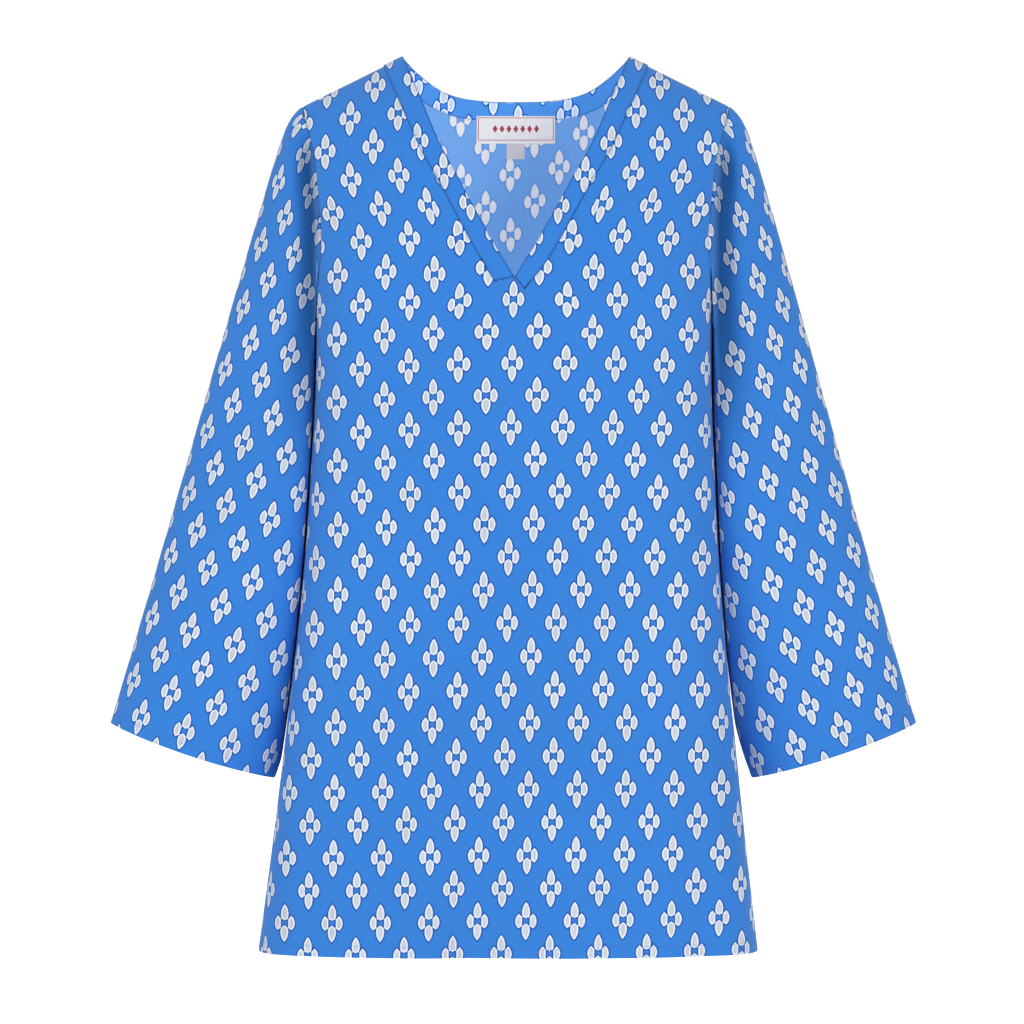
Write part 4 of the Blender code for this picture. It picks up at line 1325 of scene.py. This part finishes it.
def band_shell(node, points, outward_normals, outer, inner, material):
    """A band as a shell whose edges round in, its print placed by its distance sideways and up."""
    up, down, side = edge_distances(points)
    edge = np.minimum(np.minimum(up, down), side)
    rolled = seam_rolled(points, outward_normals, edge, BAND_ROLL, BAND_ROLL_WIDTH)
    cloth = print_place(node, points[..., 0] - sway(points[..., 2]), points[..., 2])
    # Painted shade along the band's edges
    shade = bell(edge, SEAM_LINE)
    piece = cloth_shell(f"{node}_cloth", rolled, outward_normals, cloth, outer, inner, (material,), shade)
    as_piece(piece, "printed_cloth", node)


class TUNIC_OT_neck_bands(bpy.types.Operator):
    """Two bands along the V of the front and one inside the back neck."""

    bl_idname = "tunic.neck_bands"
    bl_label = "Neck bands"

    def execute(self, context):
        for node, side, end_angle, end_width in BAND_ENDS:
            points = front_band(side, end_angle, end_width)
            band_shell(node, points, outward("front", points), BAND_OUTER, BAND_INNER, right_side())
        points = back_band()
        inward = -outward("back", points)
        band_shell("neck_band_back", points, inward, BACK_BAND_OUTER, BACK_BAND_INNER, inside_band_painted_light())
        return {"FINISHED"}


def hem_strip(form, cloth, at_start):
    """The rows of a piece that its hem covers, from the edge up."""
    points, normals = form
    count = HEM_STEPS.index(HEM_TURN) + 1
    rows = slice(0, count) if at_start else slice(-count, None)
    return points[rows], normals[rows], (cloth[0][rows], cloth[1][rows])


def put_hem(name, points, normals, cloth, rests_on):
    """A hem turned up inside: the cloth's right side shows, its print mirrored at the edge."""
    piece = cloth_shell(name, points, -normals, (cloth[0], -cloth[1]), HEM_OUTER, HEM_INNER, (right_side(),))
    as_piece(piece, "printed_cloth")


class TUNIC_OT_hems(bpy.types.Operator):
    """Turned-up hems inside the lower edge and the cuffs."""

    bl_idname = "tunic.hems"
    bl_label = "Hems"

    def execute(self, context):
        for face in FACES:
            points, normals, _, _ = panel_form(face)
            strip = hem_strip((points, normals), panel_print(face), True)
            put_hem(f"{face}_hem", *strip, rests_on=[f"{face}_cloth"])
        for node, side, cuff_x in SLEEVES:
            points, normals, places, _ = sleeve_form(side, cuff_x)
            strip = hem_strip((points, normals), print_place(node, *places), False)
            put_hem(f"{node}_hem", *strip, rests_on=[f"{node}_cloth"])
        return {"FINISHED"}


class TUNIC_OT_labels(bpy.types.Operator):
    """Satin label inside the back neck and the small tab that hangs from under it."""

    bl_idname = "tunic.labels"
    bl_label = "Label and tab"

    def execute(self, context):
        settings = context.scene.tunic
        places = (
            ("label", LABEL_HALF_WIDTH, LABEL_TOP_Z, LABEL_BOTTOM_Z, LABEL_GRID, LABEL_OUTER, LABEL_INNER,
             settings.label_colour, True, ["neck_band_back_cloth"]),
            ("size_tab", TAB_HALF_WIDTH, TAB_TOP_Z, TAB_BOTTOM_Z, TAB_GRID, TAB_OUTER, TAB_INNER,
             settings.tab_colour, False, ["back_cloth"]),
        )
        for node, half_width, top, bottom, grid, outer, inner, colour, border, rests_on in places:
            points = back_patch(half_width, top, bottom, *grid)
            inward = -outward("back", points)
            across = spacing(points, 1) - half_width
            down = spacing(points, 0) - (top - bottom) / 2
            material = label_material(f"{node}_satin", colour, border)
            piece = cloth_shell(f"{node}_ribbon", points, inward, (across, -down), outer, inner, (material,))
            as_piece(piece, f"{'label' if border else 'tab'}_cloth", node)
        return {"FINISHED"}


class TUNIC_OT_stitching(bpy.types.Operator):
    """Rows of stitches along the hems, the cuffs and the neck bands."""

    bl_idname = "tunic.stitching"
    bl_label = "Stitching"

    def execute(self, context):
        settings = context.scene.tunic
        sizes = (settings.stitch_length / MM, settings.stitch_pitch / MM, STITCH_THICKNESS, STITCH_LIFT)
        thread = thread_material("sewing_thread", settings.thread_colour)
        at = HEM_STEPS.index(HEM_STITCH)
        rows = {"hem_stitches": [], "cuff_stitches": [], "band_stitches": []}
        for face in FACES:
            points, normals, _, _ = panel_form(face)
            rows["hem_stitches"].append(stitch_row(points[at], normals[at], *sizes))
        for _, side, cuff_x in SLEEVES:
            points, normals, _, _ = sleeve_form(side, cuff_x)
            rows["cuff_stitches"].append(stitch_row(points[-1 - at], normals[-1 - at], *sizes))
        for _, side, end_angle, end_width in BAND_ENDS:
            points = front_band(side, end_angle, end_width)
            normals = outward("front", points)
            line = (points + BAND_OUTER * normals)[:, BAND_STITCH_COLUMN]
            rows["band_stitches"].append(stitch_row(line, normals[:, BAND_STITCH_COLUMN], *sizes))
        for name, made in rows.items():
            as_piece(stitched(name, made, thread), "printed_cloth")
        return {"FINISHED"}


def put_light(name, place, target, size, power):
    """Square area light turned towards a target, not seen by the camera."""
    data = bpy.data.lights.new(name, "AREA")
    data.shape = "SQUARE"
    data.size = size
    data.energy = power
    light = bpy.data.objects.new(name, data)
    light.location = place
    way = np.array(target) - np.array(place)
    light.rotation_euler = (
        math.atan2(math.hypot(way[0], way[1]), -way[2]), 0.0, math.atan2(way[0], -way[1]) + math.pi
    )
    light.visible_camera = False
    bpy.context.scene.collection.objects.link(light)


def put_camera():
    """Level camera whose picture spans the picture's pixels at the shoulder plane."""
    data = bpy.data.cameras.new("camera")
    data.sensor_width = SENSOR
    data.lens = SENSOR * EYE_DISTANCE / (PICTURE_PIXELS * PIXEL)
    camera = bpy.data.objects.new("camera", data)
    eye_x = (PICTURE_PIXELS / 2 - CENTRE_PIXEL) * PIXEL
    camera.location = (eye_x * MM, -EYE_DISTANCE * MM, EYE_Z * MM)
    camera.rotation_euler = (math.pi / 2, 0.0, 0.0)
    bpy.context.scene.collection.objects.link(camera)
    bpy.context.scene.camera = camera


def put_floor():
    """Wide pale round floor."""
    turn = np.linspace(0, 2 * math.pi, FLOOR_SIDES, endpoint=False)
    ring = np.stack([np.cos(turn), np.sin(turn), 0 * turn], axis=-1) * FLOOR_RADIUS
    mesh = bpy.data.meshes.new("floor")
    mesh.from_pydata((ring + (0.0, 0.0, FLOOR_Z)).tolist(), [], [list(range(FLOOR_SIDES))])
    material, tree, s, shader = new_material("pale_floor")
    shader.inputs["Base Color"].default_value = (0.9, 0.9, 0.9, 1.0)
    shader.inputs["Roughness"].default_value = 0.9
    shader.inputs["Specular IOR Level"].default_value = 0.0
    shader.inputs["Emission Color"].default_value = (1.0, 1.0, 1.0, 1.0)
    ray = tree.nodes.new("ShaderNodeLightPath")
    glow = s("MULTIPLY", ray.outputs["Is Camera Ray"], FLOOR_GLOW)
    tree.links.new(glow, shader.inputs["Emission Strength"])
    mesh.materials.append(material)
    floor = bpy.data.objects.new("floor", mesh)
    bpy.context.scene.collection.objects.link(floor)


def put_surround(brightness):
    """Studio around: white where the camera sees it, softer where it lights the cloth."""
    world = bpy.data.worlds.new("studio")
    world.use_nodes = True
    tree = world.node_tree
    background = tree.nodes["Background"]
    ray = tree.nodes.new("ShaderNodeLightPath")
    strength = tree.nodes.new("ShaderNodeMapRange")
    strength.inputs["To Min"].default_value = brightness
    strength.inputs["To Max"].default_value = 1.1
    tree.links.new(ray.outputs["Is Camera Ray"], strength.inputs["Value"])
    tree.links.new(strength.outputs[0], background.inputs["Strength"])
    background.inputs["Color"].default_value = (1.0, 1.0, 1.0, 1.0)
    bpy.context.scene.world = world


class TUNIC_OT_stage(bpy.types.Operator):
    """Floor, studio surround, lights and camera."""

    bl_idname = "tunic.stage"
    bl_label = "Stage"

    def execute(self, context):
        settings = context.scene.tunic
        put_floor()
        put_surround(settings.surround)
        put_light("key_light", KEY_PLACE, LIGHT_TARGET, KEY_SIZE, settings.key_power)
        put_light("fill_light", FILL_PLACE, LIGHT_TARGET, FILL_SIZE, settings.fill_power)
        put_camera()
        context.scene.view_settings.view_transform = "Standard"
        return {"FINISHED"}


STEPS = (
    TUNIC_OT_body,
    TUNIC_OT_sleeves,
    TUNIC_OT_neck_bands,
    TUNIC_OT_hems,
    TUNIC_OT_labels,
    TUNIC_OT_stitching,
    TUNIC_OT_stage,
)


class TUNIC_PT_panel(bpy.types.Panel):
    """Sidebar panel with the settings and the steps."""

    bl_idname = "TUNIC_PT_panel"
    bl_label = "Tunic top"
    bl_space_type = "VIEW_3D"
    bl_region_type = "UI"
    bl_category = "Tunic"

    def draw(self, context):
        for name in TunicSettings.__annotations__:
            self.layout.prop(context.scene.tunic, name)
        for step in STEPS:
            self.layout.operator(step.bl_idname)


CLASSES = (TunicSettings, *STEPS, TUNIC_PT_panel)


def register():
    for entry in CLASSES:
        bpy.utils.register_class(entry)
    bpy.types.Scene.tunic = PointerProperty(type=TunicSettings)


def unregister():
    del bpy.types.Scene.tunic
    for entry in reversed(CLASSES):
        bpy.utils.unregister_class(entry)


def main():
    register()
    for step in STEPS:
        group, name = step.bl_idname.split(".")
        getattr(getattr(bpy.ops, group), name)()


if __name__ == "__main__":
    main()
